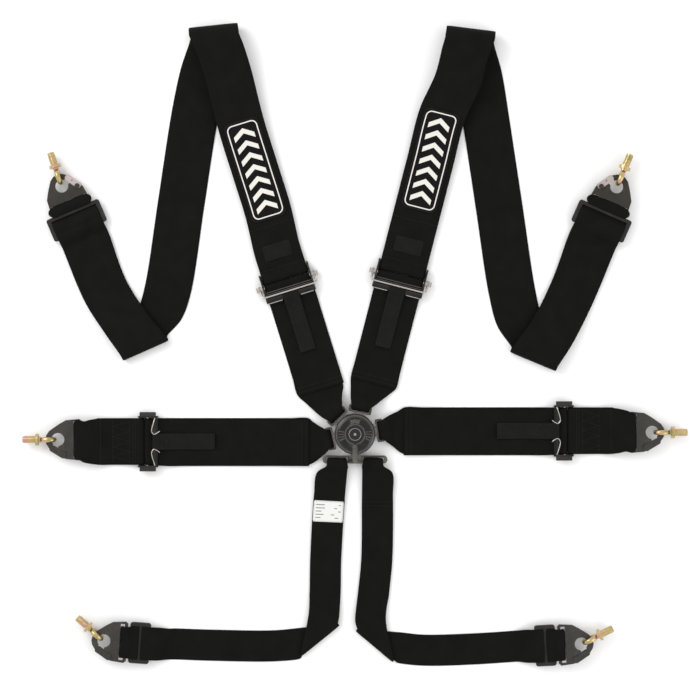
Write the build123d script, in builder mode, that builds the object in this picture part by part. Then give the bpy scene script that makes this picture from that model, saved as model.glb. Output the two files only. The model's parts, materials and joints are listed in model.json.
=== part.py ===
"""Six-point racing harness laid out flat on the floor.

A rotary quick-release buckle holds four tongues and one double crotch plate.  Two shoulder arms,
two lap arms and two crotch arms of webbing run from them to snap hooks and eye bolts.
Frame: millimetres, +Z up from the floor, origin on the floor under the buckle's centre,
+Y towards the shoulder arms, +X towards the right lap arm.
"""

import math
import os

from build123d import *

os.makedirs("parts", exist_ok=True)

# ------------------------------------------------------------------ driving dimensions
WEB_T = 1.5  # one layer of webbing
WEB_WIDE = 75.0  # shoulder and lap webbing
WEB_CROTCH = 50.0  # crotch webbing
WEB_TONGUE = 29.0  # webbing gathered at a tongue
WEB_HOOK = 56.0  # webbing gathered at a wide hook
LOOP_GAP = 0.2  # air between a bar and the webbing turned round it
CLEAR = 0.3  # air between pieces that move past each other
SIDE_GAP = 1.0  # webbing edge to a cheek or a slot end

BUCKLE_R = 32.5
BASE_FLOOR = 8.0  # solid bottom of the buckle
SLOT_H = 4.0  # height of a tongue slot
GUIDE_T = 1.0  # plate over the slots, which guides the pins
HOUSING_T = 1.5  # roof of the housing
HOUSING_WALL = 3.0
CHAMBER_H = 9.5  # room for cam, pins and springs
KNOB_R = 30.5
KNOB_T = 5.0
BADGE_R = 14.5
BADGE_T = 1.2
LEVER_W = 8.0
LEVER_REACH = 45.0
SPINDLE_R = 5.0
PIN_ORBIT = 20.0  # pins stand on this radius
PIN_R = 2.5
PIN_TRAVEL = 4.0
PIN_HEAD_R = 4.5

TONGUE_T = 3.0
TONGUE_BLADE = 14.0
TONGUE_HEAD = 37.0
TONGUE_TIP = 16.5  # radius where a blade ends inside the buckle
BAR_STANDOFF = 11.0  # buckle's edge to the bar that takes the webbing
TONGUE_BAR = BUCKLE_R + BAR_STANDOFF
TONGUE_ANGLES = {"shoulder_left": 135.0, "shoulder_right": 78.0, "lap_left": 191.0, "lap_right": 8.0}
CROTCH_ANGLE = 270.0
CROTCH_STANDOFF = 12.5
CROTCH_BAR = BUCKLE_R + CROTCH_STANDOFF
CROTCH_PLATE_W = 104.0
CROTCH_STRAP_X = 29.0  # loop centre, each side of the middle

BAR_R = 3.0  # round bars of the adjusters
FLAT_TRIM = 1.0  # a flat bar is narrower than a round one, so that its corners clear the same loop
BAR_WIDTH = 2 * BAR_R - FLAT_TRIM  # flat bars of tongues and hooks, across the bar
CHEEK_T = 2.5
CHEEK_H = 13.0
AXLE_Z = 6.5  # height of an adjuster's bars
TAB_W = 26.0
TAB_T = 2.0
TAB_L = 92.0
TAIL_SPLIT = 45.0  # the two layers part this far before the load bar

SLIDE_T = 3.0
SLIDE_Z = 11.0  # middle of a three-bar slide
SLIDE_BORDER = 6.0
SLIDE_MID = 8.0
SLIDE_LONG = 38.0
SLIDE_CROTCH_LONG = 33.0

HOOK_T = 4.0
HOOK_W = 66.0
HOOK_EYE_R = 10.5
HOOK_EYE = 34.5  # strap bar to eye
HOOK_EDGE = [(1, 33), (22, 31), (33, 24.5), (41.5, 18.7), (48.5, 13.7), (52.9, 7.2), (54.5, 0)]
HOOK_SLOT = 7.0
HOOK_THROAT = 10.0
GATE_T = 1.4
GATE_WEB_R = 2.6
RIVET_R = 2.5

RING_R = 9.5  # mean radius of an eye bolt's ring
RING_WIRE = 4.0  # radius of its section
SHANK_R = 5.55  # 7/16 in thread
SHANK_L = 21.0
NECK_L = 3.0
NECK_R = 5.0  # between the ring and the collar
RELIEF_R = 4.8  # undercut beside the collar
RELIEF_L = 1.2
EYE_SEAT = 6.0  # the wire lies this far out in the hook's eye
COLLAR_R = 9.5
COLLAR_T = 4.5

# ------------------------------------------------------------------ derived sizes
LOOP_IN = BAR_R + LOOP_GAP
LOOP_OUT = LOOP_IN + WEB_T
DOUBLE = 2 * WEB_T
TONGUE_Z = BASE_FLOOR + SLOT_H / 2
GUIDE_TOP = BASE_FLOOR + SLOT_H + GUIDE_T
HOUSING_TOP = GUIDE_TOP + CHAMBER_H + HOUSING_T
KNOB_Z = HOUSING_TOP + CLEAR
HOOK_Z = RING_R + RING_WIRE
CHEEK_INNER = WEB_WIDE / 2 + SIDE_GAP
STUD_FOOT = 2.0  # the spindle stands in a blind bore above this height
ALL_ANGLES = list(TONGUE_ANGLES.values()) + [CROTCH_ANGLE]


def cosd(angle):
    return math.cos(math.radians(angle))


def sind(angle):
    return math.sin(math.radians(angle))


def ahead(x, y, heading, distance):
    """The point that lies distance away from (x, y) along heading."""
    return x + distance * cosd(heading), y + distance * sind(heading)


def level(x, y, heading, z=0.0):
    """A level plane at (x, y, z) whose own X axis points along heading."""
    return Plane(origin=(x, y, z), x_dir=(cosd(heading), sind(heading), 0), z_dir=(0, 0, 1))


def facing(x, y, z, heading, pitch=0.0):
    """A plane that faces along heading, tipped by pitch; its own X axis is level, across the way."""
    along = (cosd(pitch) * cosd(heading), cosd(pitch) * sind(heading), sind(pitch))
    return Plane(origin=(x, y, z), x_dir=(-sind(heading), cosd(heading), 0), z_dir=along)


def write(shape, node):
    """Label a finished piece and write it as one node."""
    shape.label = node
    export_step(shape, f"parts/{node}.step")


# ------------------------------------------------------------------ buckle
with BuildPart() as buckle_base:
    with BuildSketch():
        Circle(BUCKLE_R)
    extrude(amount=GUIDE_TOP)
    for angle in ALL_ANGLES:
        with BuildSketch(level(0, 0, angle, BASE_FLOOR)):
            with Locations((BUCKLE_R, 0)):
                Rectangle(2 * (BUCKLE_R - TONGUE_TIP + 1), TONGUE_BLADE + SIDE_GAP)
        extrude(amount=SLOT_H, mode=Mode.SUBTRACT)
    with BuildSketch(Plane.XY.offset(BASE_FLOOR - 1.5)):
        for angle in ALL_ANGLES:
            with Locations(ahead(0, 0, angle, PIN_ORBIT)):
                Circle(PIN_R + 0.4)
    extrude(amount=GUIDE_TOP, mode=Mode.SUBTRACT)
    with BuildSketch(Plane.XY.offset(STUD_FOOT)):
        Circle(SPINDLE_R + 0.1)
    extrude(amount=GUIDE_TOP, mode=Mode.SUBTRACT)
    with BuildSketch():
        with PolarLocations(BUCKLE_R - 7, 3, start_angle=45):
            Circle(3.6)
    extrude(amount=2.5, mode=Mode.SUBTRACT)
    chamfer(buckle_base.faces().sort_by(Axis.Z)[0].outer_wire().edges(), 1.0)
write(buckle_base.part, "buckle_base")

with BuildPart() as buckle_housing:
    with BuildSketch(Plane.XY.offset(GUIDE_TOP)):
        Circle(BUCKLE_R)
    extrude(amount=CHAMBER_H + HOUSING_T)
    fillet(buckle_housing.faces().sort_by(Axis.Z)[-1].edges(), 1.2)
    with BuildSketch(Plane.XY.offset(GUIDE_TOP)):
        Circle(BUCKLE_R - HOUSING_WALL)
    extrude(amount=CHAMBER_H, mode=Mode.SUBTRACT)
    with BuildSketch(Plane.XY.offset(GUIDE_TOP)):
        Circle(SPINDLE_R + 4.0)
    extrude(amount=CHAMBER_H + HOUSING_T, mode=Mode.SUBTRACT)
write(buckle_housing.part, "buckle_housing")

SLEEVE_R = SPINDLE_R + 3.0
RECESS_R = BADGE_R + 0.2

with BuildPart() as release_knob:
    with BuildSketch(Plane.XY.offset(KNOB_Z)):
        Circle(KNOB_R)
    extrude(amount=KNOB_T)
    chamfer(release_knob.faces().sort_by(Axis.Z)[-1].edges(), 2.5, 5.0)
    # wedge over the shoulder tongues
    with BuildSketch(Plane.XY.offset(KNOB_Z + KNOB_T)):
        with BuildLine():
            Line(ahead(0, 0, 68, BADGE_R + 3), ahead(0, 0, 72, KNOB_R - 6.5))
            RadiusArc(ahead(0, 0, 72, KNOB_R - 6.5), ahead(0, 0, 108, KNOB_R - 6.5), -(KNOB_R - 6.5))
            Line(ahead(0, 0, 108, KNOB_R - 6.5), ahead(0, 0, 112, BADGE_R + 3))
            RadiusArc(ahead(0, 0, 112, BADGE_R + 3), ahead(0, 0, 68, BADGE_R + 3), BADGE_R + 3)
        make_face()
    extrude(amount=1.6)
    # grip ribs each side
    for side in (0, 180):
        for step in (-22, -11, 0, 11):
            with BuildSketch(level(0, 0, side + (step if side == 0 else -step), KNOB_Z + KNOB_T)):
                with Locations((BADGE_R + 7.2, 0)):
                    SlotOverall(8.5, 1.8)
            extrude(amount=1.0)
    # raised seat round the badge
    with BuildSketch(Plane.XY.offset(KNOB_Z + KNOB_T)):
        Circle(BADGE_R + 2.2)
        Circle(RECESS_R, mode=Mode.SUBTRACT)
    extrude(amount=BADGE_T)
    # finger lever
    with BuildSketch(level(0, 0, CROTCH_ANGLE, KNOB_Z + KNOB_T)):
        with Locations(((BADGE_R + LEVER_REACH) / 2 + 1, 0)):
            SlotOverall(LEVER_REACH - BADGE_R - 2, LEVER_W)
    extrude(amount=2.2)
    # sleeve down to the cam, with the spindle's blind bore
    with BuildSketch(Plane.XY.offset(GUIDE_TOP + 0.2)):
        Circle(SLEEVE_R)
    extrude(amount=KNOB_Z - GUIDE_TOP)
    with BuildSketch(Plane.XY.offset(GUIDE_TOP)):
        Circle(SPINDLE_R + 0.05)
    extrude(amount=KNOB_Z + 3.0 - GUIDE_TOP, mode=Mode.SUBTRACT)
write(release_knob.part, "release_knob")

with BuildPart() as knob_badge:
    with BuildSketch(Plane.XY.offset(KNOB_Z + KNOB_T)):
        Circle(BADGE_R)
    extrude(amount=BADGE_T)
    fillet(knob_badge.faces().sort_by(Axis.Z)[-1].edges(), 0.5)
write(knob_badge.part, "knob_badge")

CAM_R = PIN_ORBIT - PIN_R - 0.4
CAM_T = 1.0
CAM_Z = GUIDE_TOP + 0.2
RAMP_START = 12.0  # degrees past a pin where its ramp starts
RAMP_SPAN = 26.0

with BuildPart() as cam_ring:
    with BuildSketch(Plane.XY.offset(CAM_Z)):
        Circle(CAM_R)
        Circle(SLEEVE_R, mode=Mode.SUBTRACT)
    extrude(amount=CAM_T)
    for angle in ALL_ANGLES:
        middle = angle + RAMP_START + RAMP_SPAN / 2
        half = CAM_R * math.radians(RAMP_SPAN) / 2
        x, y = ahead(0, 0, middle, CAM_R - 3.0)
        with BuildSketch(facing(x, y, CAM_Z + CAM_T, middle)):
            Polygon((-half, 0), (half, 0), (half, PIN_TRAVEL * 0.8), align=None)
        extrude(amount=2.0)
write(cam_ring.part, "cam_ring")

PIN_BOTTOM = TONGUE_Z - TONGUE_T / 2 - 1.0
HEAD_Z = CAM_Z + CAM_T + 0.4

with BuildPart() as latch_pins:
    for angle in ALL_ANGLES:
        x, y = ahead(0, 0, angle, PIN_ORBIT)
        with BuildSketch(level(x, y, angle, PIN_BOTTOM)):
            Circle(PIN_R)
        extrude(amount=HEAD_Z - PIN_BOTTOM)
        with BuildSketch(level(x, y, angle, HEAD_Z)):
            Circle(PIN_HEAD_R)
        extrude(amount=1.0)
write(latch_pins.part, "latch_pins")

SPRING_BASE = HEAD_Z + 1.1
SPRING_TOP = HOUSING_TOP - HOUSING_T - 0.1

with BuildPart() as latch_springs:
    for angle in ALL_ANGLES:
        x, y = ahead(0, 0, angle, PIN_ORBIT)
        with BuildSketch(level(x, y, angle, SPRING_BASE)):
            Circle(3.6)
            Circle(2.8, mode=Mode.SUBTRACT)
        extrude(amount=SPRING_TOP - SPRING_BASE)
write(latch_springs.part, "latch_springs")

with BuildPart() as spindle_screw:
    with BuildSketch(Plane.XY.offset(STUD_FOOT)):
        Circle(SPINDLE_R)
    extrude(amount=KNOB_Z + 2.5 - STUD_FOOT)
    chamfer(spindle_screw.faces().sort_by(Axis.Z)[0].edges(), 0.6)
write(spindle_screw.part, "spindle_screw")

with BuildPart() as housing_screws:
    with BuildSketch(Plane.XY.offset(0.5)):
        with PolarLocations(BUCKLE_R - 7, 3, start_angle=45):
            Circle(3.4)
    extrude(amount=2.0)
    with BuildSketch(Plane.XY.offset(0.5)):
        with PolarLocations(BUCKLE_R - 7, 3, start_angle=45):
            RegularPolygon(1.7, 6)
    extrude(amount=1.2, mode=Mode.SUBTRACT)
write(housing_screws.part, "housing_screws")


# ------------------------------------------------------------------ tongues
def tongue(angle):
    """A tongue: a blade in the buckle, a head with a slot, and the bar that takes the webbing."""
    inner = TONGUE_BAR - LOOP_OUT - 2.2
    outer = TONGUE_BAR + BAR_WIDTH / 2
    with BuildPart() as plate:
        with BuildSketch(level(0, 0, angle, TONGUE_Z - TONGUE_T / 2)):
            with Locations(((TONGUE_TIP + inner) / 2, 0)):
                Rectangle(inner - TONGUE_TIP, TONGUE_BLADE)
            with Locations(((inner - 2.5 + outer) / 2, 0)):
                RectangleRounded(outer - inner + 2.5, TONGUE_HEAD, 2.4)
            with Locations(((inner + TONGUE_BAR - BAR_WIDTH / 2) / 2, 0)):
                Rectangle(TONGUE_BAR - BAR_WIDTH / 2 - inner, WEB_TONGUE + 1.5, mode=Mode.SUBTRACT)
            with Locations((PIN_ORBIT, 0)):
                Circle(PIN_R + 0.5, mode=Mode.SUBTRACT)
        extrude(amount=TONGUE_T)
        chamfer(plate.faces().group_by(Axis.Z)[-1].edges().filter_by(GeomType.LINE), 0.4)
    return plate.part


for arm, angle in TONGUE_ANGLES.items():
    write(tongue(angle), f"tongue_{arm}")

CROTCH_SLOT = 34.0
with BuildPart() as crotch_plate:
    inner = CROTCH_BAR - LOOP_OUT - 2.2
    outer = CROTCH_BAR + BAR_WIDTH / 2
    with BuildSketch(level(0, 0, CROTCH_ANGLE, TONGUE_Z - TONGUE_T / 2)):
        with Locations(((TONGUE_TIP + inner) / 2, 0)):
            Rectangle(inner - TONGUE_TIP, TONGUE_BLADE)
        with Locations(((inner - 3.5 + outer) / 2, 0)):
            RectangleRounded(outer - inner + 3.5, CROTCH_PLATE_W, 6.0)
        for side in (-1, 1):
            with Locations(((inner + CROTCH_BAR - BAR_WIDTH / 2) / 2, side * CROTCH_STRAP_X)):
                Rectangle(CROTCH_BAR - BAR_WIDTH / 2 - inner, CROTCH_SLOT, mode=Mode.SUBTRACT)
        with Locations((PIN_ORBIT, 0)):
            Circle(PIN_R + 0.5, mode=Mode.SUBTRACT)
    extrude(amount=TONGUE_T)
    chamfer(crotch_plate.faces().group_by(Axis.Z)[-1].edges().filter_by(GeomType.LINE), 0.4)
write(crotch_plate.part, "crotch_plate")


# ------------------------------------------------------------------ webbing
def loop(x, y, heading, z, width):
    """Webbing turned once round a bar: a short tube whose axis is level, across heading."""
    start = ahead(x, y, heading + 90, -width / 2)
    with BuildPart() as ring:
        with BuildSketch(facing(*start, z, heading + 90)):
            Circle(LOOP_OUT)
            Circle(LOOP_IN, mode=Mode.SUBTRACT)
        extrude(amount=width)
    return ring.part


def ribbon(stations):
    """A webbing run through stations, each (x, y, z, heading, pitch, width, thickness)."""
    with BuildPart() as run:
        for x, y, z, heading, pitch, width, thick in stations:
            with BuildSketch(facing(x, y, z, heading, pitch)):
                Rectangle(width, thick)
        loft(ruled=True)
    return run.part


def joined(pieces):
    """One closed solid from runs and loops that share ends."""
    with BuildPart() as strap:
        for piece in pieces:
            add(piece)
    return strap.part


FLOOR_2 = DOUBLE / 2  # mid-height of two layers on the floor
FLOOR_1 = WEB_T / 2
LOOP_MID = (LOOP_IN + LOOP_OUT) / 2


def adjustable_strap(tongue_angle, hem, load_bar, heading):
    """Webbing from a tongue bar to an adjuster's load bar and back as a tail that ends in a hem."""
    bx, by = ahead(0, 0, tongue_angle, TONGUE_BAR)
    sx, sy = ahead(bx, by, tongue_angle, LOOP_MID)
    mx, my = ahead(bx, by, tongue_angle, 11.0)
    ex, ey = ahead(*load_bar, heading, -TAIL_SPLIT)
    lx, ly = ahead(*load_bar, heading, 0.4)
    near = [
        (sx, sy, TONGUE_Z, tongue_angle, 0, WEB_TONGUE, DOUBLE),
        (mx, my, TONGUE_Z - 2, tongue_angle, 0, WEB_TONGUE + 2, DOUBLE),
        (*hem, FLOOR_2, heading, 0, WEB_WIDE, DOUBLE),
        (ex, ey, FLOOR_2, heading, 0, WEB_WIDE, DOUBLE),
    ]
    lower = [
        (ex, ey, FLOOR_1, heading, 0, WEB_WIDE, WEB_T),
        (lx, ly, AXLE_Z - LOOP_MID, heading, 0, WEB_WIDE, WEB_T),
    ]
    upper = [
        (ex, ey, DOUBLE - FLOOR_1, heading, 0, WEB_WIDE, WEB_T),
        (lx, ly, AXLE_Z + LOOP_MID, heading, 0, WEB_WIDE, WEB_T),
    ]
    return joined(
        [
            loop(bx, by, tongue_angle, TONGUE_Z, WEB_TONGUE),
            ribbon(near),
            ribbon(lower),
            ribbon(upper),
            loop(*load_bar, heading, AXLE_Z, WEB_WIDE),
        ]
    )


def slide_stations(x, y, heading, width, half):
    """The webbing's way through a three-bar slide: under its ends and over its middle bar."""
    under = SLIDE_Z - SLIDE_T / 2 - 0.3 - WEB_T / 2
    over = SLIDE_Z + SLIDE_T / 2 + 0.3 + WEB_T / 2
    edge = half - SLIDE_BORDER - 0.2
    reach = SLIDE_MID / 2 + 0.2
    end = half + 0.2
    ways = [(-end, under), (-edge, under), (-reach, over), (reach, over), (edge, under), (end, under)]
    return [(*ahead(x, y, heading, d), z, heading, 0, width, WEB_T) for d, z in ways]


def turn(edge_x, edge_y, outward, width, radius, first, last):
    """Stations of a fold whose outline passes (edge_x, edge_y); outward points out of the fold.

    first and last are 0 for the bottom of the roll and 180 for its top.
    """
    cx, cy = ahead(edge_x, edge_y, outward, -(radius + WEB_T / 2))
    cz = WEB_T / 2 + radius
    count = 6
    found = []
    for i in range(count + 1):
        q = first + (last - first) * i / count
        x, y = ahead(cx, cy, outward, radius * sind(q))
        if first < last:
            place = (x, y, cz - radius * cosd(q), outward + 180, -180 - q, width, WEB_T)
        else:
            place = (x, y, cz - radius * cosd(q), outward, q - 180, width, WEB_T)
        found.append(place)
    return found


# ------------------------------------------------------------------ adjusters, slides, hooks, bolts
def adjuster(x, y, heading, back, front, fixed, lip):
    """Adjuster frame in place; back and front reach from the load bar, fixed is its second bar."""
    outer = CHEEK_INNER + CHEEK_T
    with BuildPart() as frame:
        for side in (-1, 1):
            start = ahead(x, y, heading + 90, side * outer if side < 0 else CHEEK_INNER)
            with BuildSketch(facing(*start, 0, heading + 90)):
                with Locations(((back - front) / 2, CHEEK_H / 2)):
                    RectangleRounded(front + back, CHEEK_H, 2.5)
                with Locations((0, AXLE_Z)):
                    Circle(BAR_R, mode=Mode.SUBTRACT)
            extrude(amount=CHEEK_T)
            if lip:
                with BuildSketch(level(x, y, heading, CHEEK_H - 2.5)):
                    with Locations(((front - back) / 2, side * (outer + lip / 2))):
                        RectangleRounded(front + back - 6, lip + 1, 1.0)
                extrude(amount=2.0)
        # second bar, round, for the next strap
        start = ahead(*ahead(x, y, heading, fixed), heading + 90, -CHEEK_INNER - 1)
        with BuildSketch(facing(*start, AXLE_Z, heading + 90)):
            Circle(BAR_R)
        extrude(amount=2 * CHEEK_INNER + 2)
        # front cross bar over the tail
        with BuildSketch(level(x, y, heading, CHEEK_H - 3)):
            with Locations((-back + 3.5, 0)):
                Rectangle(7.0, 2 * CHEEK_INNER + 2)
        extrude(amount=3.0)
    return frame.part


def load_bar(x, y, heading, pin_out):
    """The bar that the tail rolls over; its pins reach past the cheeks."""
    reach = CHEEK_INNER + CHEEK_T + pin_out
    start = ahead(x, y, heading + 90, -reach)
    with BuildPart() as bar:
        with BuildSketch(facing(*start, AXLE_Z, heading + 90)):
            Circle(BAR_R)
        extrude(amount=2 * reach)
        if pin_out > 3:
            for side in (-1, 1):
                head = ahead(x, y, heading + 90, reach - 1.5 if side > 0 else -reach)
                with BuildSketch(facing(*head, AXLE_Z, heading + 90)):
                    Circle(BAR_R + 1.2)
                extrude(amount=1.5)
    return bar.part


def pull_tab(x, y, heading, back):
    """Webbing tab sewn round the front cross bar, lying over the tail."""
    z = CHEEK_H + 0.2 + TAB_T / 2
    away = heading + 180
    stations = [
        (*ahead(x, y, heading, -back + 7), z, away, 0, TAB_W, TAB_T),
        (*ahead(x, y, heading, -back - 6), z, away, 0, TAB_W, TAB_T),
        (*ahead(x, y, heading, -back - 30), 6.5, away, 0, TAB_W, TAB_T),
        (*ahead(x, y, heading, -back - TAB_L), 4.6, away, 0, TAB_W, TAB_T),
    ]
    return ribbon(stations)


BAIL_WIRE = 1.5
BAIL_STANDOFF = 6.0  # cheek's outer face to the outside of the bail
BAIL_OUT = CHEEK_INNER + CHEEK_T + BAIL_STANDOFF
BAIL_ROD = 15.0  # rod ahead of the load bar
BAIL_RISE = 8.3  # rod above the load bar
BAIL_HUB = 3.6  # width of the eye that turns on the pin


def wire_bail(x, y, heading):
    """Wire bail: an arm outside each cheek, pivoting on the load bar's pins, and a rod across."""
    arm_y = BAIL_OUT - BAIL_WIRE
    reach = math.hypot(BAIL_ROD, BAIL_RISE)
    tip = (-BAIL_ROD * cosd(heading) / reach, -BAIL_ROD * sind(heading) / reach, BAIL_RISE / reach)
    across = Vector(-sind(heading), cosd(heading), 0)
    tilted = Plane(origin=(x, y, AXLE_Z), x_dir=tip, z_dir=Vector(*tip).cross(across))
    near = BAR_R + 0.9
    with BuildPart() as bail:
        with BuildLine(tilted) as wire:
            FilletPolyline((near, -arm_y), (reach, -arm_y), (reach, arm_y), (near, arm_y), radius=4.0)
        with BuildSketch(Plane(origin=wire.line @ 0, z_dir=wire.line % 0)):
            Circle(BAIL_WIRE)
        sweep(path=wire.line)
        for side in (-1, 1):
            hub = ahead(x, y, heading + 90, side * arm_y - BAIL_HUB / 2)
            with BuildSketch(facing(*hub, AXLE_Z, heading + 90)):
                Circle(BAR_R + 2.0)
                Circle(BAR_R + 0.1, mode=Mode.SUBTRACT)
            extrude(amount=BAIL_HUB)
    return bail.part


def slide(x, y, heading, width, long):
    """Three-bar slide: a rounded plate with two slots."""
    gap = long / 2 - SLIDE_BORDER - SLIDE_MID / 2
    with BuildPart() as plate:
        with BuildSketch(level(x, y, heading, SLIDE_Z - SLIDE_T / 2)):
            RectangleRounded(long, width + 16, 4.0)
            for side in (-1, 1):
                with Locations((side * (SLIDE_MID / 2 + gap / 2), 0)):
                    Rectangle(gap, width + 2 * SIDE_GAP, mode=Mode.SUBTRACT)
        extrude(amount=SLIDE_T)
        chamfer(plate.faces().sort_by(Axis.Z)[-1].outer_wire().edges(), 0.8)
    return plate.part


THROAT_TURN = 70.0  # the throat's direction from the eye, measured from the hook's own axis
PIVOT_X = 25.0
PIVOT_Y = 23.0
THROAT_WEB = 15.0  # eye to the gate's web


def snap_hook(x, y, heading, side, slot):
    """Snap hook and its rivet; side is +1 where the throat opens on the left of its heading."""
    with BuildPart() as plate:
        with BuildSketch(level(x, y, heading, HOOK_Z - HOOK_T / 2)):
            with BuildLine():
                left = [(-BAR_WIDTH / 2, HOOK_W / 2 - 3)] + HOOK_EDGE
                Polyline(*left, *[(along, -out) for along, out in left[-2::-1]], close=True)
            make_face()
            with Locations((HOOK_EYE, 0)):
                Circle(HOOK_EYE_R, mode=Mode.SUBTRACT)
            with Locations((BAR_WIDTH / 2 + HOOK_SLOT / 2, 0)):
                Rectangle(HOOK_SLOT, slot + 2 * SIDE_GAP, mode=Mode.SUBTRACT)
            with Locations((HOOK_EYE + 14 * cosd(THROAT_TURN), side * 14 * sind(THROAT_TURN))):
                Rectangle(28, HOOK_THROAT, rotation=side * THROAT_TURN, mode=Mode.SUBTRACT)
            with Locations((PIVOT_X, side * PIVOT_Y)):
                Circle(RIVET_R, mode=Mode.SUBTRACT)
        extrude(amount=HOOK_T)
    return plate.part


def rivet(x, y, heading, side):
    px, py = ahead(*ahead(x, y, heading, PIVOT_X), heading + 90, side * PIVOT_Y)
    lift = HOOK_T / 2 + CLEAR + GATE_T + CLEAR
    with BuildPart() as pin:
        with BuildSketch(level(px, py, heading, HOOK_Z - lift)):
            Circle(RIVET_R)
        extrude(amount=2 * lift)
        for z in (HOOK_Z - lift - 1.0, HOOK_Z + lift):
            with BuildSketch(level(px, py, heading, z)):
                Circle(RIVET_R + 1.5)
            extrude(amount=1.0)
    return pin.part


def gate(x, y, heading, side):
    """Spring gate: two leaves, above and below the hook, joined by a web in the throat."""
    low = HOOK_Z - HOOK_T / 2 - CLEAR - GATE_T
    high = HOOK_Z + HOOK_T / 2 + CLEAR
    tip_x = HOOK_EYE + THROAT_WEB * cosd(THROAT_TURN)
    tip_y = THROAT_WEB * sind(THROAT_TURN)
    reach = math.hypot(tip_x - PIVOT_X, tip_y - PIVOT_Y)
    turn_to = math.degrees(math.atan2(tip_y - PIVOT_Y, tip_x - PIVOT_X))
    px, py = ahead(*ahead(x, y, heading, PIVOT_X), heading + 90, side * PIVOT_Y)
    own = heading + side * turn_to
    with BuildPart() as leaf:
        for z in (low, high):
            with BuildSketch(level(px, py, own, z)):
                with Locations(((reach + 2) / 2, side * 2.0)):
                    RectangleRounded(reach + 12, 10.0, 4.0)
                Circle(RIVET_R + 0.1, mode=Mode.SUBTRACT)
            extrude(amount=GATE_T)
        with BuildSketch(level(px, py, own, low)):
            with Locations((reach, 0)):
                Circle(GATE_WEB_R)
        extrude(amount=high - low)
    return leaf.part


def eye_bolt(x, y, heading):
    """Forged eye bolt: (x, y) is the middle of the wire inside the hook's eye."""
    cx, cy = ahead(x, y, heading, RING_R)
    back = RING_R + RING_WIRE - 1.0
    with BuildPart() as bolt:
        with BuildSketch(facing(cx, cy, HOOK_Z, heading)):
            with Locations((0, RING_R)):
                Circle(RING_WIRE)
        across = (-sind(heading), cosd(heading), 0)
        revolve(axis=Axis((cx, cy, HOOK_Z), across))
        for start, length, radius in (
            (back, 4.0, NECK_R),
            (back + NECK_L, COLLAR_T, COLLAR_R),
            (back + NECK_L + COLLAR_T, RELIEF_L, RELIEF_R),
            (back + NECK_L + COLLAR_T + RELIEF_L, SHANK_L - RELIEF_L, SHANK_R),
        ):
            with BuildSketch(facing(*ahead(cx, cy, heading, start), HOOK_Z, heading)):
                Circle(radius)
            extrude(amount=length)
        chamfer(bolt.faces().filter_by(GeomType.PLANE).sort_by(
            Axis((cx, cy, HOOK_Z), (cosd(heading), sind(heading), 0)))[-1].edges(), 0.8)
    return bolt.part


def anchor(arm, x, y, heading, side, slot, bolt_heading):
    """Hook, rivet, gate and eye bolt at the end of an arm; (x, y) is the hook's strap bar."""
    hook = Compound(children=[snap_hook(x, y, heading, side, slot), rivet(x, y, heading, side)])
    write(hook, f"hook_{arm}")
    write(gate(x, y, heading, side), f"gate_{arm}")
    write(eye_bolt(*ahead(*ahead(x, y, heading, HOOK_EYE), bolt_heading, EYE_SEAT), bolt_heading), f"eye_bolt_{arm}")


# ------------------------------------------------------------------ lap arms
LAP_FIXED = 11.0
LAP_BACK = 17.0
LAP_FRONT = 15.0
LAP_LIP = 6.0
LAPS = {
    # hem centre, load bar, heading, hook bar, gate side, bolt heading
    "lap_left": ((-78.0, -14.4), (-333.0, -12.5), 180.0, (-441.0, -9.0), 1, 180.0),
    "lap_right": ((82.0, 2.8), (336.0, 4.8), 0.0, (441.0, 2.6), -1, 0.0),
}

for arm, (hem, bar, heading, hook_bar, side, bolt_heading) in LAPS.items():
    fx, fy = ahead(*bar, heading, LAP_FIXED)
    write(adjustable_strap(TONGUE_ANGLES[arm], hem, bar, heading), f"strap_{arm}")
    write(adjuster(*bar, heading, LAP_BACK, LAP_FRONT, LAP_FIXED, LAP_LIP), f"adjuster_{arm}")
    write(load_bar(*bar, heading, 0.0), f"load_bar_{arm}")
    write(pull_tab(*bar, heading, LAP_BACK), f"pull_tab_{arm}")
    run = [
        (*ahead(fx, fy, heading, LOOP_MID), AXLE_Z, heading, 0, WEB_WIDE, DOUBLE),
        (*ahead(fx, fy, heading, 30), AXLE_Z - 2, heading, 0, WEB_WIDE, DOUBLE),
        (*ahead(*hook_bar, heading, -36), AXLE_Z, heading, 0, WEB_WIDE, DOUBLE),
        (*ahead(*hook_bar, heading, -9), HOOK_Z - 2, heading, 0, WEB_HOOK, DOUBLE),
        (*ahead(*hook_bar, heading, -LOOP_MID), HOOK_Z, heading, 0, WEB_HOOK, DOUBLE),
    ]
    outer = [loop(fx, fy, heading, AXLE_Z, WEB_WIDE), ribbon(run), loop(*hook_bar, heading, HOOK_Z, WEB_HOOK)]
    write(joined(outer), f"anchor_strap_{arm}")
    anchor(arm, *hook_bar, heading, side, WEB_HOOK, bolt_heading)

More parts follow.
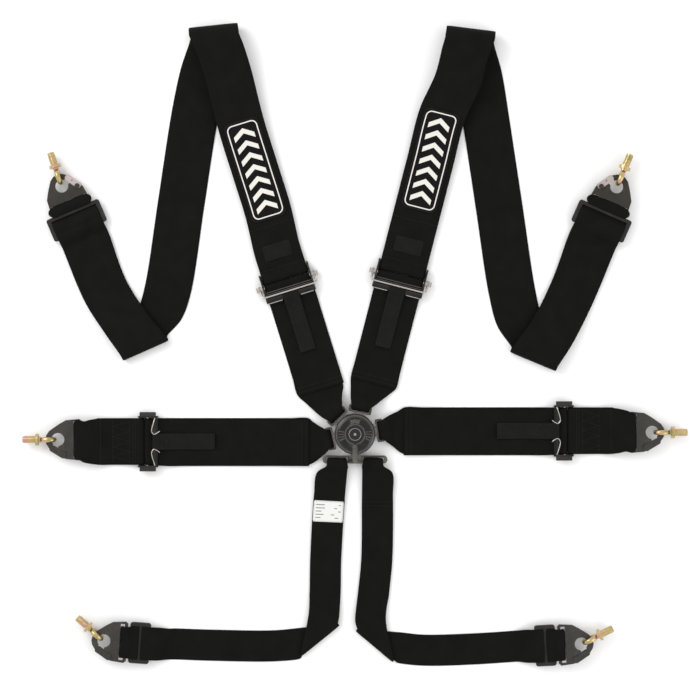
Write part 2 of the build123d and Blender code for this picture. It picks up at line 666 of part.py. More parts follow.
# ------------------------------------------------------------------ shoulder arms
SH_FIXED = 11.4
SH_BACK = 25.0
SH_FRONT = 22.0
TOP_ROLL = 14.0
LOW_ROLL = 7.0
SHOULDERS = {
    "shoulder_left": {
        "hem": (-53.5, 71.0),
        "load_bar": (-109.0, 244.0),
        "heading": 107.2,
        "patch": (-160.0, 423.0),
        "top_edge": (-227.0, 654.0),
        "top_out": 96.0,
        "down": [(-257.0, 514.0), (-301.0, 230.0)],
        "down_heading": 81.0,
        "low_edge": (-335.0, 133.0),
        "low_out": -66.0,
        "rise": (-401.0, 230.0),
        "slide": (-446.0, 342.0),
        "slide_heading": 113.0,
        "side": -1,
        "bolt_heading": 109.0,
    },
    "shoulder_right": {
        "hem": (29.5, 82.0),
        "load_bar": (73.0, 251.0),
        "heading": 75.6,
        "patch": (121.0, 438.0),
        "top_edge": (186.0, 649.0),
        "top_out": 83.0,
        "down": [(212.0, 494.0), (252.0, 230.0)],
        "down_heading": 98.6,
        "low_edge": (285.0, 115.5),
        "low_out": -112.9,
        "rise": (350.0, 230.0),
        "slide": (395.0, 341.0),
        "slide_heading": 66.4,
        "side": 1,
        "bolt_heading": 67.0,
    },
}
SHOULDER_HOOK = 25.0  # slide centre to hook bar


def upper_shoulder(fixed, arm):
    """Webbing from the adjuster over the top fold, round the low fold, and through the slide."""
    out, low = arm["top_out"], arm["low_out"]
    rise_heading = arm["slide_heading"]
    top_z = 2 * TOP_ROLL + FLOOR_1
    slide_run = slide_stations(*arm["slide"], rise_heading, WEB_WIDE, SLIDE_LONG / 2)
    hook_bar = ahead(*arm["slide"], rise_heading, SHOULDER_HOOK)
    up = [
        (*ahead(*fixed, arm["heading"], LOOP_MID), AXLE_Z, arm["heading"], 0, WEB_WIDE, DOUBLE),
        (*ahead(*fixed, arm["heading"], 30), AXLE_Z - 2, arm["heading"], 0, WEB_WIDE, DOUBLE),
        (*arm["patch"], AXLE_Z + 1, arm["heading"], 0, WEB_WIDE, DOUBLE),
        (*ahead(*arm["top_edge"], arm["heading"] + 180, 110), top_z - 9, arm["heading"], 0, WEB_WIDE, WEB_T),
    ]
    top = turn(*arm["top_edge"], out, WEB_WIDE + 2, TOP_ROLL, 180, 0)
    down = [(*p, FLOOR_1, arm["down_heading"], -180, WEB_WIDE, WEB_T) for p in arm["down"]]
    bottom = turn(*arm["low_edge"], low, WEB_WIDE + 3, LOW_ROLL, 0, 180)
    rise = [(*arm["rise"], 5.0, rise_heading + 3, -360, WEB_WIDE, WEB_T)]
    dip = LOOP_MID * cosd(45)
    end = [(*ahead(*hook_bar, rise_heading, -dip), HOOK_Z - dip, rise_heading, 45, WEB_HOOK, WEB_T)]
    route = up + top + down + bottom + rise + slide_run + end
    return joined(
        [
            loop(*fixed, arm["heading"], AXLE_Z, WEB_WIDE),
            ribbon(route),
            loop(*hook_bar, rise_heading, HOOK_Z, WEB_HOOK),
        ]
    )


for name, arm in SHOULDERS.items():
    bar, heading = arm["load_bar"], arm["heading"]
    fixed = ahead(*bar, heading, SH_FIXED)
    hook_bar = ahead(*arm["slide"], arm["slide_heading"], SHOULDER_HOOK)
    write(adjustable_strap(TONGUE_ANGLES[name], arm["hem"], bar, heading), f"strap_{name}")
    write(adjuster(*bar, heading, SH_BACK, SH_FRONT, SH_FIXED, 0), f"adjuster_{name}")
    write(load_bar(*bar, heading, 10.0), f"load_bar_{name}")
    write(pull_tab(*bar, heading, SH_BACK), f"pull_tab_{name}")
    write(wire_bail(*bar, heading), f"wire_bail_{name}")
    write(upper_shoulder(fixed, arm), f"anchor_strap_{name}")
    write(slide(*arm["slide"], arm["slide_heading"], WEB_WIDE, SLIDE_LONG), f"slide_{name}")
    anchor(name, *hook_bar, arm["slide_heading"], arm["side"], WEB_HOOK, arm["bolt_heading"])

# ------------------------------------------------------------------ crotch arms
CROTCH_ROLL = 3.0
CROTCH_HOOK = 22.5
CROTCH_WEB_BAR = 32.0
CROTCHES = {
    "crotch_left": {
        "bar": -CROTCH_STRAP_X,
        "down": [(-38.5, -66.0), (-47.0, -202.0), (-47.0, -275.0)],
        "edge": (-54.5, -332.5),
        "out": -51.0,
        "crease": 78.0,
        "away": (-110.0, -341.0),
        "away_heading": 179.0,
        "slide": (-345.0, -335.0),
        "slide_heading": 176.0,
        "side": 1,
        "bolt_heading": 139.0,
    },
    "crotch_right": {
        "bar": CROTCH_STRAP_X,
        "down": [(36.5, -66.0), (35.0, -202.0), (27.0, -280.0)],
        "edge": (30.5, -342.0),
        "out": -130.0,
        "crease": 75.0,
        "away": (110.0, -349.0),
        "away_heading": 1.0,
        "slide": (305.0, -339.0),
        "slide_heading": 3.0,
        "side": -1,
        "bolt_heading": 26.0,
    },
}


def crotch_strap(arm):
    """Crotch webbing: down from the plate, folded under to the side, through its slide to the hook."""
    bar = (arm["bar"], -CROTCH_BAR)
    slide_run = slide_stations(*arm["slide"], arm["slide_heading"], WEB_CROTCH, SLIDE_CROTCH_LONG / 2)
    hook_bar = ahead(*arm["slide"], arm["slide_heading"], CROTCH_HOOK)
    level_z = 2 * CROTCH_ROLL + FLOOR_1
    far = [
        (*ahead(*bar, CROTCH_ANGLE, LOOP_MID), TONGUE_Z, CROTCH_ANGLE, 0, CROTCH_WEB_BAR, WEB_T),
        (*arm["down"][0], level_z - 3, CROTCH_ANGLE, 0, WEB_CROTCH, WEB_T),
        (*arm["down"][1], level_z - 3, CROTCH_ANGLE, 0, WEB_CROTCH, WEB_T),
        (*arm["down"][2], level_z, CROTCH_ANGLE, 0, WEB_CROTCH, WEB_T),
    ]
    fold = turn(*arm["edge"], arm["out"], arm["crease"], CROTCH_ROLL, 180, 0)
    away = [(*arm["away"], FLOOR_1, arm["away_heading"] + 180, -180, WEB_CROTCH, WEB_T)]
    slide_run = [(x, y, z, h + 180, -180, w, t) for x, y, z, h, _, w, t in slide_run]
    dip = LOOP_MID * cosd(45)
    over = arm["slide_heading"] + 180
    end = [(*ahead(*hook_bar, over, dip), HOOK_Z - dip, over, -225, WEB_CROTCH, WEB_T)]
    return joined(
        [
            loop(*bar, CROTCH_ANGLE, TONGUE_Z, CROTCH_WEB_BAR),
            ribbon(far + fold + away + slide_run + end),
            loop(*hook_bar, arm["slide_heading"], HOOK_Z, WEB_CROTCH),
        ]
    )


for name, arm in CROTCHES.items():
    hook_bar = ahead(*arm["slide"], arm["slide_heading"], CROTCH_HOOK)
    write(crotch_strap(arm), f"strap_{name}")
    write(slide(*arm["slide"], arm["slide_heading"], WEB_CROTCH, SLIDE_CROTCH_LONG), f"slide_{name}")
    anchor(name, *hook_bar, arm["slide_heading"], arm["side"], WEB_HOOK, arm["bolt_heading"])
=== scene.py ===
"""A racing harness laid flat, with its webbing, stitching and hardware finishes."""

import json
import math

import bmesh
import bpy
import numpy as np
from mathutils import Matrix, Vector


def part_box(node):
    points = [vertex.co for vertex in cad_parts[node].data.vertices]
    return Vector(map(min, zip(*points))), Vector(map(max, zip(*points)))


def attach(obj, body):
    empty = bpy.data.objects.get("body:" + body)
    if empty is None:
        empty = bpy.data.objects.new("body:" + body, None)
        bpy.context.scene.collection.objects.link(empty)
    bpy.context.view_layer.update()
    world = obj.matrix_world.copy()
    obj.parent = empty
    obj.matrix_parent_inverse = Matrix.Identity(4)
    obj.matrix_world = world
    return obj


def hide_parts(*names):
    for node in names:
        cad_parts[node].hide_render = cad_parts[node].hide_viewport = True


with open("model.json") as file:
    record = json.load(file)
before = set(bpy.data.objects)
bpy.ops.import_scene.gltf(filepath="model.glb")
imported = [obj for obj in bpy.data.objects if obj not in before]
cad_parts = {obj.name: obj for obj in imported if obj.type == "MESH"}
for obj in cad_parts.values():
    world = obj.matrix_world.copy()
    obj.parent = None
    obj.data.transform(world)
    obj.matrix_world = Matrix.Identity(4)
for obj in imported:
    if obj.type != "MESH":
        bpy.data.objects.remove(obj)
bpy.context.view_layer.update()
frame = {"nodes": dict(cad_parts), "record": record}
joints = {j["name"]: j for j in frame["record"]["behaviour"]["joints"]}
MM = 0.001

# ------------------------------------------------------------------ sizes, in metres
WEB_T = 1.4 * MM  # one layer of webbing
LAYER = 1.55 * MM  # from one layer's middle to the next
WEB_WIDE = 75 * MM
WEB_CROTCH = 50 * MM
WEB_TONGUE = 30 * MM
HOOK_SLACK = 4.6 * MM  # loose loops fill the slots
BAR_SLACK = 2.0 * MM
GATHERED = 33 * MM  # width of the gathered webbing beside a tongue
WEB_HOOK = 57 * MM
WRAP = 3.95 * MM  # middle of webbing turned round a bar
STEP = 2.5 * MM  # length of one mesh row
FLOOR_Z = 1.1 * MM  # middle of a layer on the floor
THREAD_R = 0.32 * MM


def cosd(angle):
    return math.cos(math.radians(angle))


def sind(angle):
    return math.sin(math.radians(angle))


def ahead(x, y, heading, distance):
    return x + distance * cosd(heading), y + distance * sind(heading)


def nearest(angle, other):
    """The same heading as angle, in the turn closest to other."""
    return other + (angle - other + 180) % 360 - 180


def heading_of(joint):
    """The way out along an arm, from a hinge that lifts the outer side."""
    ax, ay, _ = joints[joint]["axis"]
    return math.degrees(math.atan2(ax, -ay))


def place_of(joint):
    return joints[joint]["pos_m"]


# ------------------------------------------------------------------ node groups and materials
def new_group(name, inputs, outputs):
    """A shader node group with named sockets; returns the group and its two end nodes."""
    group = bpy.data.node_groups.new(name, "ShaderNodeTree")
    for label, kind, value in inputs:
        socket = group.interface.new_socket(name=label, in_out="INPUT", socket_type=kind)
        if value is not None:
            socket.default_value = value
    for label, kind in outputs:
        group.interface.new_socket(name=label, in_out="OUTPUT", socket_type=kind)
    return group, group.nodes.new("NodeGroupInput"), group.nodes.new("NodeGroupOutput")


def node(tree, kind, **settings):
    made = tree.nodes.new(kind)
    for key, value in settings.items():
        setattr(made, key, value)
    return made


def math_node(tree, operation, a, b=None):
    made = node(tree, "ShaderNodeMath", operation=operation)
    for index, value in enumerate((a, b)):
        if value is None:
            continue
        if isinstance(value, (int, float)):
            made.inputs[index].default_value = value
        else:
            tree.links.new(value, made.inputs[index])
    return made.outputs[0]


def build_weave():
    """Rib weave read from a UV map in metres: ribs along the webbing and picks across it. The colour is
    lighter on the rib and pick tops as a painted highlight, and noise adds random tone.
    """
    group, start, end = new_group(
        "webbing_weave",
        [("UV", "NodeSocketVector", None), ("Rib", "NodeSocketFloat", 0.0016),
         ("Pick", "NodeSocketFloat", 0.0011), ("Dark", "NodeSocketColor", (0.01, 0.01, 0.01, 1)),
         ("Light", "NodeSocketColor", (0.03, 0.03, 0.03, 1))],
        [("Color", "NodeSocketColor"), ("Roughness", "NodeSocketFloat"), ("Height", "NodeSocketFloat")],
    )
    split = node(group, "ShaderNodeSeparateXYZ")
    group.links.new(start.outputs["UV"], split.inputs[0])
    across = math_node(group, "DIVIDE", split.outputs[0], start.outputs["Rib"])
    along = math_node(group, "DIVIDE", split.outputs[1], start.outputs["Pick"])
    rib = math_node(group, "ABSOLUTE",
                    math_node(group, "SINE", math_node(group, "MULTIPLY", across, math.pi)))
    shifted = math_node(group, "ADD", along,
                        math_node(group, "MULTIPLY", math_node(group, "FLOOR", across), 0.5))
    pick = math_node(group, "ABSOLUTE",
                     math_node(group, "SINE", math_node(group, "MULTIPLY", shifted, math.pi)))
    height = math_node(group, "ADD", math_node(group, "MULTIPLY", rib, 0.6),
                       math_node(group, "MULTIPLY", pick, 0.4))
    noise = node(group, "ShaderNodeTexNoise")
    noise.inputs["Scale"].default_value = 38.0
    noise.inputs["Detail"].default_value = 5.0
    group.links.new(start.outputs["UV"], noise.inputs["Vector"])
    wear = math_node(group, "MULTIPLY", noise.outputs["Fac"], 0.75)
    # painted highlight: the weave height lightens the rib and pick tops; the noise term adds random tone
    ridge_highlight_and_tone = math_node(group, "ADD", math_node(group, "MULTIPLY", height, 0.5), wear)
    fac = math_node(group, "SUBTRACT", ridge_highlight_and_tone, 0.25)
    mix = node(group, "ShaderNodeMix", data_type="RGBA")
    group.links.new(fac, mix.inputs["Factor"])
    group.links.new(start.outputs["Dark"], mix.inputs["A"])
    group.links.new(start.outputs["Light"], mix.inputs["B"])
    group.links.new(mix.outputs["Result"], end.inputs["Color"])
    rough = math_node(group, "SUBTRACT", 0.86, math_node(group, "MULTIPLY", rib, 0.16))
    group.links.new(rough, end.inputs["Roughness"])
    group.links.new(height, end.inputs["Height"])
    return group


def build_wear():
    """Edge wear and fine grain on Object coordinates."""
    group, start, end = new_group(
        "worn_finish",
        [("Scale", "NodeSocketFloat", 400.0), ("Base", "NodeSocketColor", (0.03, 0.03, 0.03, 1)),
         ("Worn", "NodeSocketColor", (0.3, 0.3, 0.3, 1)), ("Amount", "NodeSocketFloat", 0.5),
         ("Rough", "NodeSocketFloat", 0.4)],
        [("Color", "NodeSocketColor"), ("Roughness", "NodeSocketFloat"), ("Height", "NodeSocketFloat"),
         ("Edge", "NodeSocketFloat")],
    )
    place = node(group, "ShaderNodeTexCoord")
    noise = node(group, "ShaderNodeTexNoise")
    noise.inputs["Detail"].default_value = 6.0
    group.links.new(place.outputs["Object"], noise.inputs["Vector"])
    group.links.new(start.outputs["Scale"], noise.inputs["Scale"])
    patchy = node(group, "ShaderNodeTexNoise")
    patchy.inputs["Scale"].default_value = 70.0
    patchy.inputs["Detail"].default_value = 3.0
    group.links.new(place.outputs["Object"], patchy.inputs["Vector"])
    shape = node(group, "ShaderNodeNewGeometry")
    sharp = math_node(group, "SUBTRACT", shape.outputs["Pointiness"], 0.5)
    edge = math_node(group, "MULTIPLY", math_node(group, "MAXIMUM", sharp, 0.0), 9.0)
    edge = math_node(group, "MULTIPLY", edge, math_node(group, "ADD", noise.outputs["Fac"], 0.35))
    edge = math_node(group, "MINIMUM", math_node(group, "MULTIPLY", edge, start.outputs["Amount"]), 1.0)
    scuff = math_node(group, "MAXIMUM", math_node(group, "SUBTRACT", patchy.outputs["Fac"], 0.56), 0.0)
    scuff = math_node(group, "MULTIPLY", scuff, math_node(group, "MULTIPLY", start.outputs["Amount"], 1.6))
    fac = math_node(group, "MINIMUM", math_node(group, "ADD", edge, scuff), 1.0)
    mix = node(group, "ShaderNodeMix", data_type="RGBA")
    group.links.new(fac, mix.inputs["Factor"])
    group.links.new(start.outputs["Base"], mix.inputs["A"])
    group.links.new(start.outputs["Worn"], mix.inputs["B"])
    group.links.new(mix.outputs["Result"], end.inputs["Color"])
    spread = math_node(group, "MULTIPLY", math_node(group, "SUBTRACT", noise.outputs["Fac"], 0.5), 0.22)
    group.links.new(math_node(group, "ADD", start.outputs["Rough"], spread), end.inputs["Roughness"])
    group.links.new(noise.outputs["Fac"], end.inputs["Height"])
    group.links.new(edge, end.inputs["Edge"])
    return group


WEAVE = build_weave()
WORN = build_wear()


def blank_material(name):
    made = bpy.data.materials.new(name)
    made.use_nodes = True
    return made, made.node_tree, made.node_tree.nodes["Principled BSDF"]


def set_specular(shader, level):
    shader.inputs["Specular IOR Level"].default_value = level


def bumped(tree, shader, height, strength, distance):
    bump = node(tree, "ShaderNodeBump")
    bump.inputs["Strength"].default_value = strength
    bump.inputs["Distance"].default_value = distance
    tree.links.new(height, bump.inputs["Height"])
    tree.links.new(bump.outputs["Normal"], shader.inputs["Normal"])


def webbing_material(name, dark, light, rib=0.0016, pick=0.0011, sheen=0.02):
    made, tree, shader = blank_material(name)
    uv = node(tree, "ShaderNodeUVMap", uv_map="UVMap")
    weave = node(tree, "ShaderNodeGroup", node_tree=WEAVE)
    tree.links.new(uv.outputs["UV"], weave.inputs["UV"])
    weave.inputs["Rib"].default_value = rib
    weave.inputs["Pick"].default_value = pick
    weave.inputs["Dark"].default_value = (*dark, 1)
    weave.inputs["Light"].default_value = (*light, 1)
    tree.links.new(weave.outputs["Color"], shader.inputs["Base Color"])
    tree.links.new(weave.outputs["Roughness"], shader.inputs["Roughness"])
    set_specular(shader, 0.09)
    shader.inputs["Sheen Weight"].default_value = sheen
    shader.inputs["Sheen Roughness"].default_value = 0.45
    shader.inputs["Sheen Tint"].default_value = (0.8, 0.79, 0.74, 1)
    bumped(tree, shader, weave.outputs["Height"], 0.55, 0.0004)
    return made


def worn_material(name, base, worn, rough, metallic, amount=0.5, scale=400.0, bump=0.06, coat=0.0,
                  specular=0.5):
    made, tree, shader = blank_material(name)
    finish = node(tree, "ShaderNodeGroup", node_tree=WORN)
    finish.inputs["Scale"].default_value = scale
    finish.inputs["Base"].default_value = (*base, 1)
    finish.inputs["Worn"].default_value = (*worn, 1)
    finish.inputs["Amount"].default_value = amount
    finish.inputs["Rough"].default_value = rough
    tree.links.new(finish.outputs["Color"], shader.inputs["Base Color"])
    tree.links.new(finish.outputs["Roughness"], shader.inputs["Roughness"])
    shader.inputs["Metallic"].default_value = metallic
    shader.inputs["Coat Weight"].default_value = coat
    set_specular(shader, specular)
    bumped(tree, shader, finish.outputs["Height"], bump, 0.0003)
    return made


def zinc_material():
    """Yellow passivated zinc: gold with pink and green drifts."""
    made, tree, shader = blank_material("yellow_zinc_plate")
    place = node(tree, "ShaderNodeTexCoord")
    noise = node(tree, "ShaderNodeTexNoise")
    noise.inputs["Scale"].default_value = 60.0
    noise.inputs["Detail"].default_value = 3.0
    tree.links.new(place.outputs["Object"], noise.inputs["Vector"])
    ramp = node(tree, "ShaderNodeValToRGB")
    ramp.color_ramp.elements[0].position = 0.34
    ramp.color_ramp.elements[0].color = (0.36, 0.33, 0.14, 1)
    ramp.color_ramp.elements[1].position = 0.68
    ramp.color_ramp.elements[1].color = (0.58, 0.34, 0.27, 1)
    middle = ramp.color_ramp.elements.new(0.5)
    middle.color = (0.56, 0.42, 0.20, 1)
    tree.links.new(noise.outputs["Fac"], ramp.inputs["Fac"])
    tree.links.new(ramp.outputs["Color"], shader.inputs["Base Color"])
    fine = node(tree, "ShaderNodeTexNoise")
    fine.inputs["Scale"].default_value = 900.0
    tree.links.new(place.outputs["Object"], fine.inputs["Vector"])
    tree.links.new(math_node(tree, "ADD", math_node(tree, "MULTIPLY", fine.outputs["Fac"], 0.2), 0.18),
                   shader.inputs["Roughness"])
    shader.inputs["Metallic"].default_value = 1.0
    bumped(tree, shader, fine.outputs["Fac"], 0.08, 0.0002)
    return made


BLACK_WEB = webbing_material("black_webbing", (0.0012, 0.0012, 0.0010), (0.0072, 0.0071, 0.0058))
TAB_WEB = webbing_material("tab_webbing", (0.0028, 0.0028, 0.0024), (0.0150, 0.0148, 0.0128), 0.0012,
                           0.0009)
PATCH_CLOTH = webbing_material("patch_cloth", (0.003, 0.0026, 0.0026), (0.010, 0.009, 0.009), 0.0007,
                               0.0007, 0.02)
THREAD = worn_material("black_thread", (0.004, 0.004, 0.004), (0.02, 0.02, 0.02), 0.6, 0.0, 0.3, 900.0,
                       specular=0.3)
WHITE_THREAD = worn_material("white_thread", (0.74, 0.72, 0.66), (0.6, 0.58, 0.53), 0.65, 0.0, 0.3, 900.0,
                             0.2)
LABEL_CLOTH = worn_material("label_cloth", (0.72, 0.72, 0.70), (0.62, 0.62, 0.58), 0.75, 0.0, 0.2, 1200.0,
                            0.2)
LABEL_INK = worn_material("label_ink", (0.12, 0.12, 0.13), (0.2, 0.2, 0.2), 0.7, 0.0, 0.2, 1200.0)
BLACK_STEEL = worn_material("black_coated_steel", (0.005, 0.005, 0.0045), (0.10, 0.09, 0.08), 0.42, 0.0,
                            0.4, specular=0.22)
HOOK_STEEL = worn_material("hook_steel", (0.0075, 0.0072, 0.006), (0.09, 0.08, 0.065), 0.48, 0.0, 0.35,
                           specular=0.16)
TONGUE_STEEL = worn_material("tongue_steel", (0.010, 0.009, 0.0075), (0.42, 0.37, 0.32), 0.4, 0.25, 0.55,
                             specular=0.25)
BRIGHT_STEEL = worn_material("nickel_plate", (0.50, 0.47, 0.43), (0.22, 0.19, 0.16), 0.26, 1.0, 0.5)
DULL_STEEL = worn_material("dull_steel", (0.04, 0.039, 0.037), (0.26, 0.25, 0.23), 0.42, 0.8, 0.6)
GATE_STEEL = worn_material("gate_steel", (0.60, 0.52, 0.50), (0.34, 0.28, 0.27), 0.38, 0.75, 0.6)
KNOB_BLACK = worn_material("knob_black", (0.0055, 0.0055, 0.005), (0.26, 0.25, 0.22), 0.3, 0.0, 0.5, 500.0,
                           0.1, 0.0, 0.3)
SHELL_BLACK = worn_material("shell_black", (0.006, 0.006, 0.0065), (0.12, 0.12, 0.11), 0.42, 0.0, 0.5,
                            500.0, 0.1, 0.0, 0.35)
BADGE_BLACK = worn_material("badge_black", (0.006, 0.006, 0.007), (0.05, 0.05, 0.05), 0.2, 0.0, 0.2, 500.0,
                            0.02, 0.1, 0.3)
BADGE_METAL = worn_material("badge_metal", (0.34, 0.33, 0.31), (0.2, 0.19, 0.18), 0.35, 0.7, 0.4, 700.0,
                            0.05, 0.1)
# painted shade: near-black colour for the disc that stands in for the small hole in each gate
HOLE_SHADE = worn_material("dark_hole", (0.004, 0.004, 0.004), (0.02, 0.02, 0.02), 0.7, 0.0, 0.2)
ZINC = zinc_material()


# ------------------------------------------------------------------ mesh helpers
def mesh_piece(name, vertices, faces, material, smooth=True, uv=None):
    """A new object at the origin from points and faces, with its normals turned outwards."""
    mesh = bpy.data.meshes.new(name)
    mesh.from_pydata([tuple(v) for v in vertices], [], faces)
    if uv is not None:
        layer = mesh.uv_layers.new(name="UVMap")
        for loop in mesh.loops:
            layer.data[loop.index].uv = uv[loop.vertex_index]
    shell = bmesh.new()
    shell.from_mesh(mesh)
    bmesh.ops.recalc_face_normals(shell, faces=shell.faces)
    shell.to_mesh(mesh)
    shell.free()
    mesh.materials.append(material)
    mesh.polygons.foreach_set("use_smooth", [smooth] * len(mesh.polygons))
    made = bpy.data.objects.new(name, mesh)
    bpy.context.scene.collection.objects.link(made)
    return made


def merge_pieces(name, pieces):
    """One object from several, keeping their materials and UVs."""
    bpy.ops.object.select_all(action="DESELECT")
    for piece in pieces:
        piece.select_set(True)
    bpy.context.view_layer.objects.active = pieces[0]
    if len(pieces) > 1:
        bpy.ops.object.join()
    pieces[0].name = name
    return pieces[0]


def curve_through(points, step=STEP):
    """Centripetal Catmull-Rom samples through rows of coordinates, about step apart."""
    points = np.asarray(points, float)
    ends = np.vstack([2 * points[0] - points[1], points, 2 * points[-1] - points[-2]])
    out = []
    for i in range(len(points) - 1):
        p0, p1, p2, p3 = ends[i : i + 4]
        gap = [max(np.linalg.norm((b - a)[:3]), 1e-6) ** 0.5 for a, b in ((p0, p1), (p1, p2), (p2, p3))]
        t1, t2, t3 = gap[0], gap[0] + gap[1], sum(gap)
        count = max(1, int(math.ceil(np.linalg.norm((p2 - p1)[:3]) / step)))
        for t in np.linspace(t1, t2, count, endpoint=False):
            a1 = p0 * (t1 - t) / t1 + p1 * t / t1
            a2 = p1 * (t2 - t) / (t2 - t1) + p2 * (t - t1) / (t2 - t1)
            a3 = p2 * (t3 - t) / (t3 - t2) + p3 * (t - t2) / (t3 - t2)
            b1 = a1 * (t2 - t) / t2 + a2 * t / t2
            b2 = a2 * (t3 - t) / (t3 - t1) + a3 * (t - t1) / (t3 - t1)
            out.append(b1 * (t2 - t) / (t2 - t1) + b2 * (t - t1) / (t2 - t1))
    out.append(points[-1])
    return np.array(out)


class Webbing:
    """A run of webbing through stations (x, y, z, heading, width, cup).

    heading is the way the run points where it lies face up, and stays the same where the run turns
    over. cup is how far the middle of a gathered width stands above its edges.
    """

    def __init__(self, stations, full_width, seed=0.0):
        rows = []
        for x, y, z, heading, width, cup in stations:
            left = np.array([-sind(heading), cosd(heading), 0.0]) * width / 2
            rows.append([x, y, z, *left, cup])
        dense = curve_through(rows)
        self.middle, self.left, self.cup = dense[:, :3], dense[:, 3:6], dense[:, 6]
        self.width = 2 * np.linalg.norm(self.left, axis=1)
        self.full = full_width
        gaps = np.linalg.norm(np.diff(self.middle, axis=0), axis=1)
        self.along = np.concatenate([[0], np.cumsum(gaps)])
        tangent = np.gradient(self.middle, self.along, axis=0)
        self.tangent = tangent / np.linalg.norm(tangent, axis=1)[:, None]
        across = self.left / (self.width / 2)[:, None]
        up = np.cross(self.tangent, across)
        self.up = up / np.linalg.norm(up, axis=1)[:, None]
        self.seed = seed

    @property
    def length(self):
        return float(self.along[-1])

    def row(self, s, values):
        """values at distance s along the run."""
        if values.ndim == 1:
            return np.interp(s, self.along, values)
        return np.stack([np.interp(s, self.along, values[:, k]) for k in range(values.shape[1])], -1)

    def point(self, s, u, lift=0.0):
        """The point at s along and u across, from -1 to 1, lifted off the middle of the layer."""
        s, u = np.asarray(s, float), np.asarray(u, float)
        middle, left, up = self.row(s, self.middle), self.row(s, self.left), self.row(s, self.up)
        cup = self.row(s, self.cup)
        ripple = 0.22 * MM * np.sin(41 * s + 3 * u + self.seed) * np.sin(17 * s + 2.3 * self.seed)
        rise = cup * (1 - u * u) - cup * 0.4 + ripple + lift
        return middle + left * u[..., None] + up * rise[..., None]

    def solid(self, name, material, thick=WEB_T, columns=14):
        """The closed mesh of the run, with a UV map in metres."""
        bend = np.linspace(-1, 1, columns + 1)
        bend = np.sin(bend * math.pi / 2) * 0.35 + bend * 0.65
        count = len(self.along)
        half = thick / 2 * np.power(np.clip(1 - np.abs(bend) ** 10, 0, 1), 0.5)
        half = np.maximum(half, thick * 0.12)
        top = [self.point(self.along, np.full(count, u), h) for u, h in zip(bend, half)]
        low = [self.point(self.along, np.full(count, u), -h) for u, h in zip(bend, half)]
        ring = top + low[::-1]
        around = len(ring)
        vertices = np.stack(ring, axis=1).reshape(-1, 3)
        faces = []
        for i in range(count - 1):
            for j in range(around):
                k = (j + 1) % around
                faces.append((i * around + j, i * around + k, (i + 1) * around + k, (i + 1) * around + j))
        for i in (0, count - 1):
            base = i * around
            for j in range(columns):
                faces.append((base + j, base + j + 1, base + around - 2 - j, base + around - 1 - j))
        us = list(bend) + list(bend[::-1])
        uv = [(u * self.full / 2, s) for s in self.along for u in us]
        return mesh_piece(name, vertices, faces, material, True, uv)

    def pad(self, name, material, outline, low, high):
        """A flat piece on the run: outline is a closed loop of (s, u) points, raised from low to high."""
        outline = np.array(outline)
        bottom = self.point(outline[:, 0], outline[:, 1], low)
        top = self.point(outline[:, 0], outline[:, 1], high)
        count = len(outline)
        vertices = np.vstack([bottom, top])
        faces = [tuple(range(count, 2 * count)), tuple(range(count))[::-1]]
        faces += [(i, (i + 1) % count, count + (i + 1) % count, count + i) for i in range(count)]
        uv = [(u * self.full / 2, s) for s, u in outline] * 2
        return mesh_piece(name, vertices, faces, material, False, uv)

    def strip(self, name, material, s_range, u_range, low, high, corner=0.0, across=12):
        """A rectangular layer over part of the run, following its shape, with soft edges."""
        rows = max(2, int((s_range[1] - s_range[0]) / STEP))
        ss = np.linspace(*s_range, rows + 1)
        us = np.linspace(*u_range, across + 1)
        vertices, uv, faces = [], [], []
        for lift in (high, low):
            for i, s in enumerate(ss):
                edge_s = min(i, rows - i)
                pull = 0.0
                if corner and edge_s * (ss[1] - ss[0]) < corner:
                    gap = corner - edge_s * (ss[1] - ss[0])
                    pull = (corner - math.sqrt(max(corner**2 - gap**2, 0))) / (self.full / 2)
                for j, u in enumerate(us):
                    mid = (u_range[0] + u_range[1]) / 2
                    half = (u_range[1] - u_range[0]) / 2
                    value = mid + (u - mid) * (half - pull) / half
                    soft = 1.0
                    if lift == high and (edge_s == 0 or j in (0, across)):
                        soft = 0.45
                    vertices.append(self.point(s, np.array(value), low + (lift - low) * soft))
                    uv.append((value * self.full / 2, s))
        width = across + 1
        size = (rows + 1) * width
        for i in range(rows):
            for j in range(across):
                a = i * width + j
                faces.append((a, a + 1, a + width + 1, a + width))
                faces.append((size + a + width, size + a + width + 1, size + a + 1, size + a))
        rim = [i for i in range(width)] + [r * width + across for r in range(1, rows + 1)]
        rim += [rows * width + j for j in range(across - 1, -1, -1)]
        rim += [r * width for r in range(rows - 1, 0, -1)]
        for a, b in zip(rim, rim[1:] + rim[:1]):
            faces.append((a, b, size + b, size + a))
        return mesh_piece(name, vertices, faces, material, True, uv)


def rounded_loop(s_mid, u_mid, long, wide, corner, full, count=7):
    """A rounded rectangle in (s, u) for a run of full width; sizes are in metres."""
    loop = []
    for sx, sy, start in ((1, 1, 0), (-1, 1, 90), (-1, -1, 180), (1, -1, 270)):
        for k in range(count):
            angle = start + 90 * k / (count - 1)
            s = sx * (long / 2 - corner) + corner * cosd(angle)
            u = sy * (wide / 2 - corner) + corner * sind(angle)
            loop.append((s_mid + s, u_mid + u / (full / 2)))
    return loop


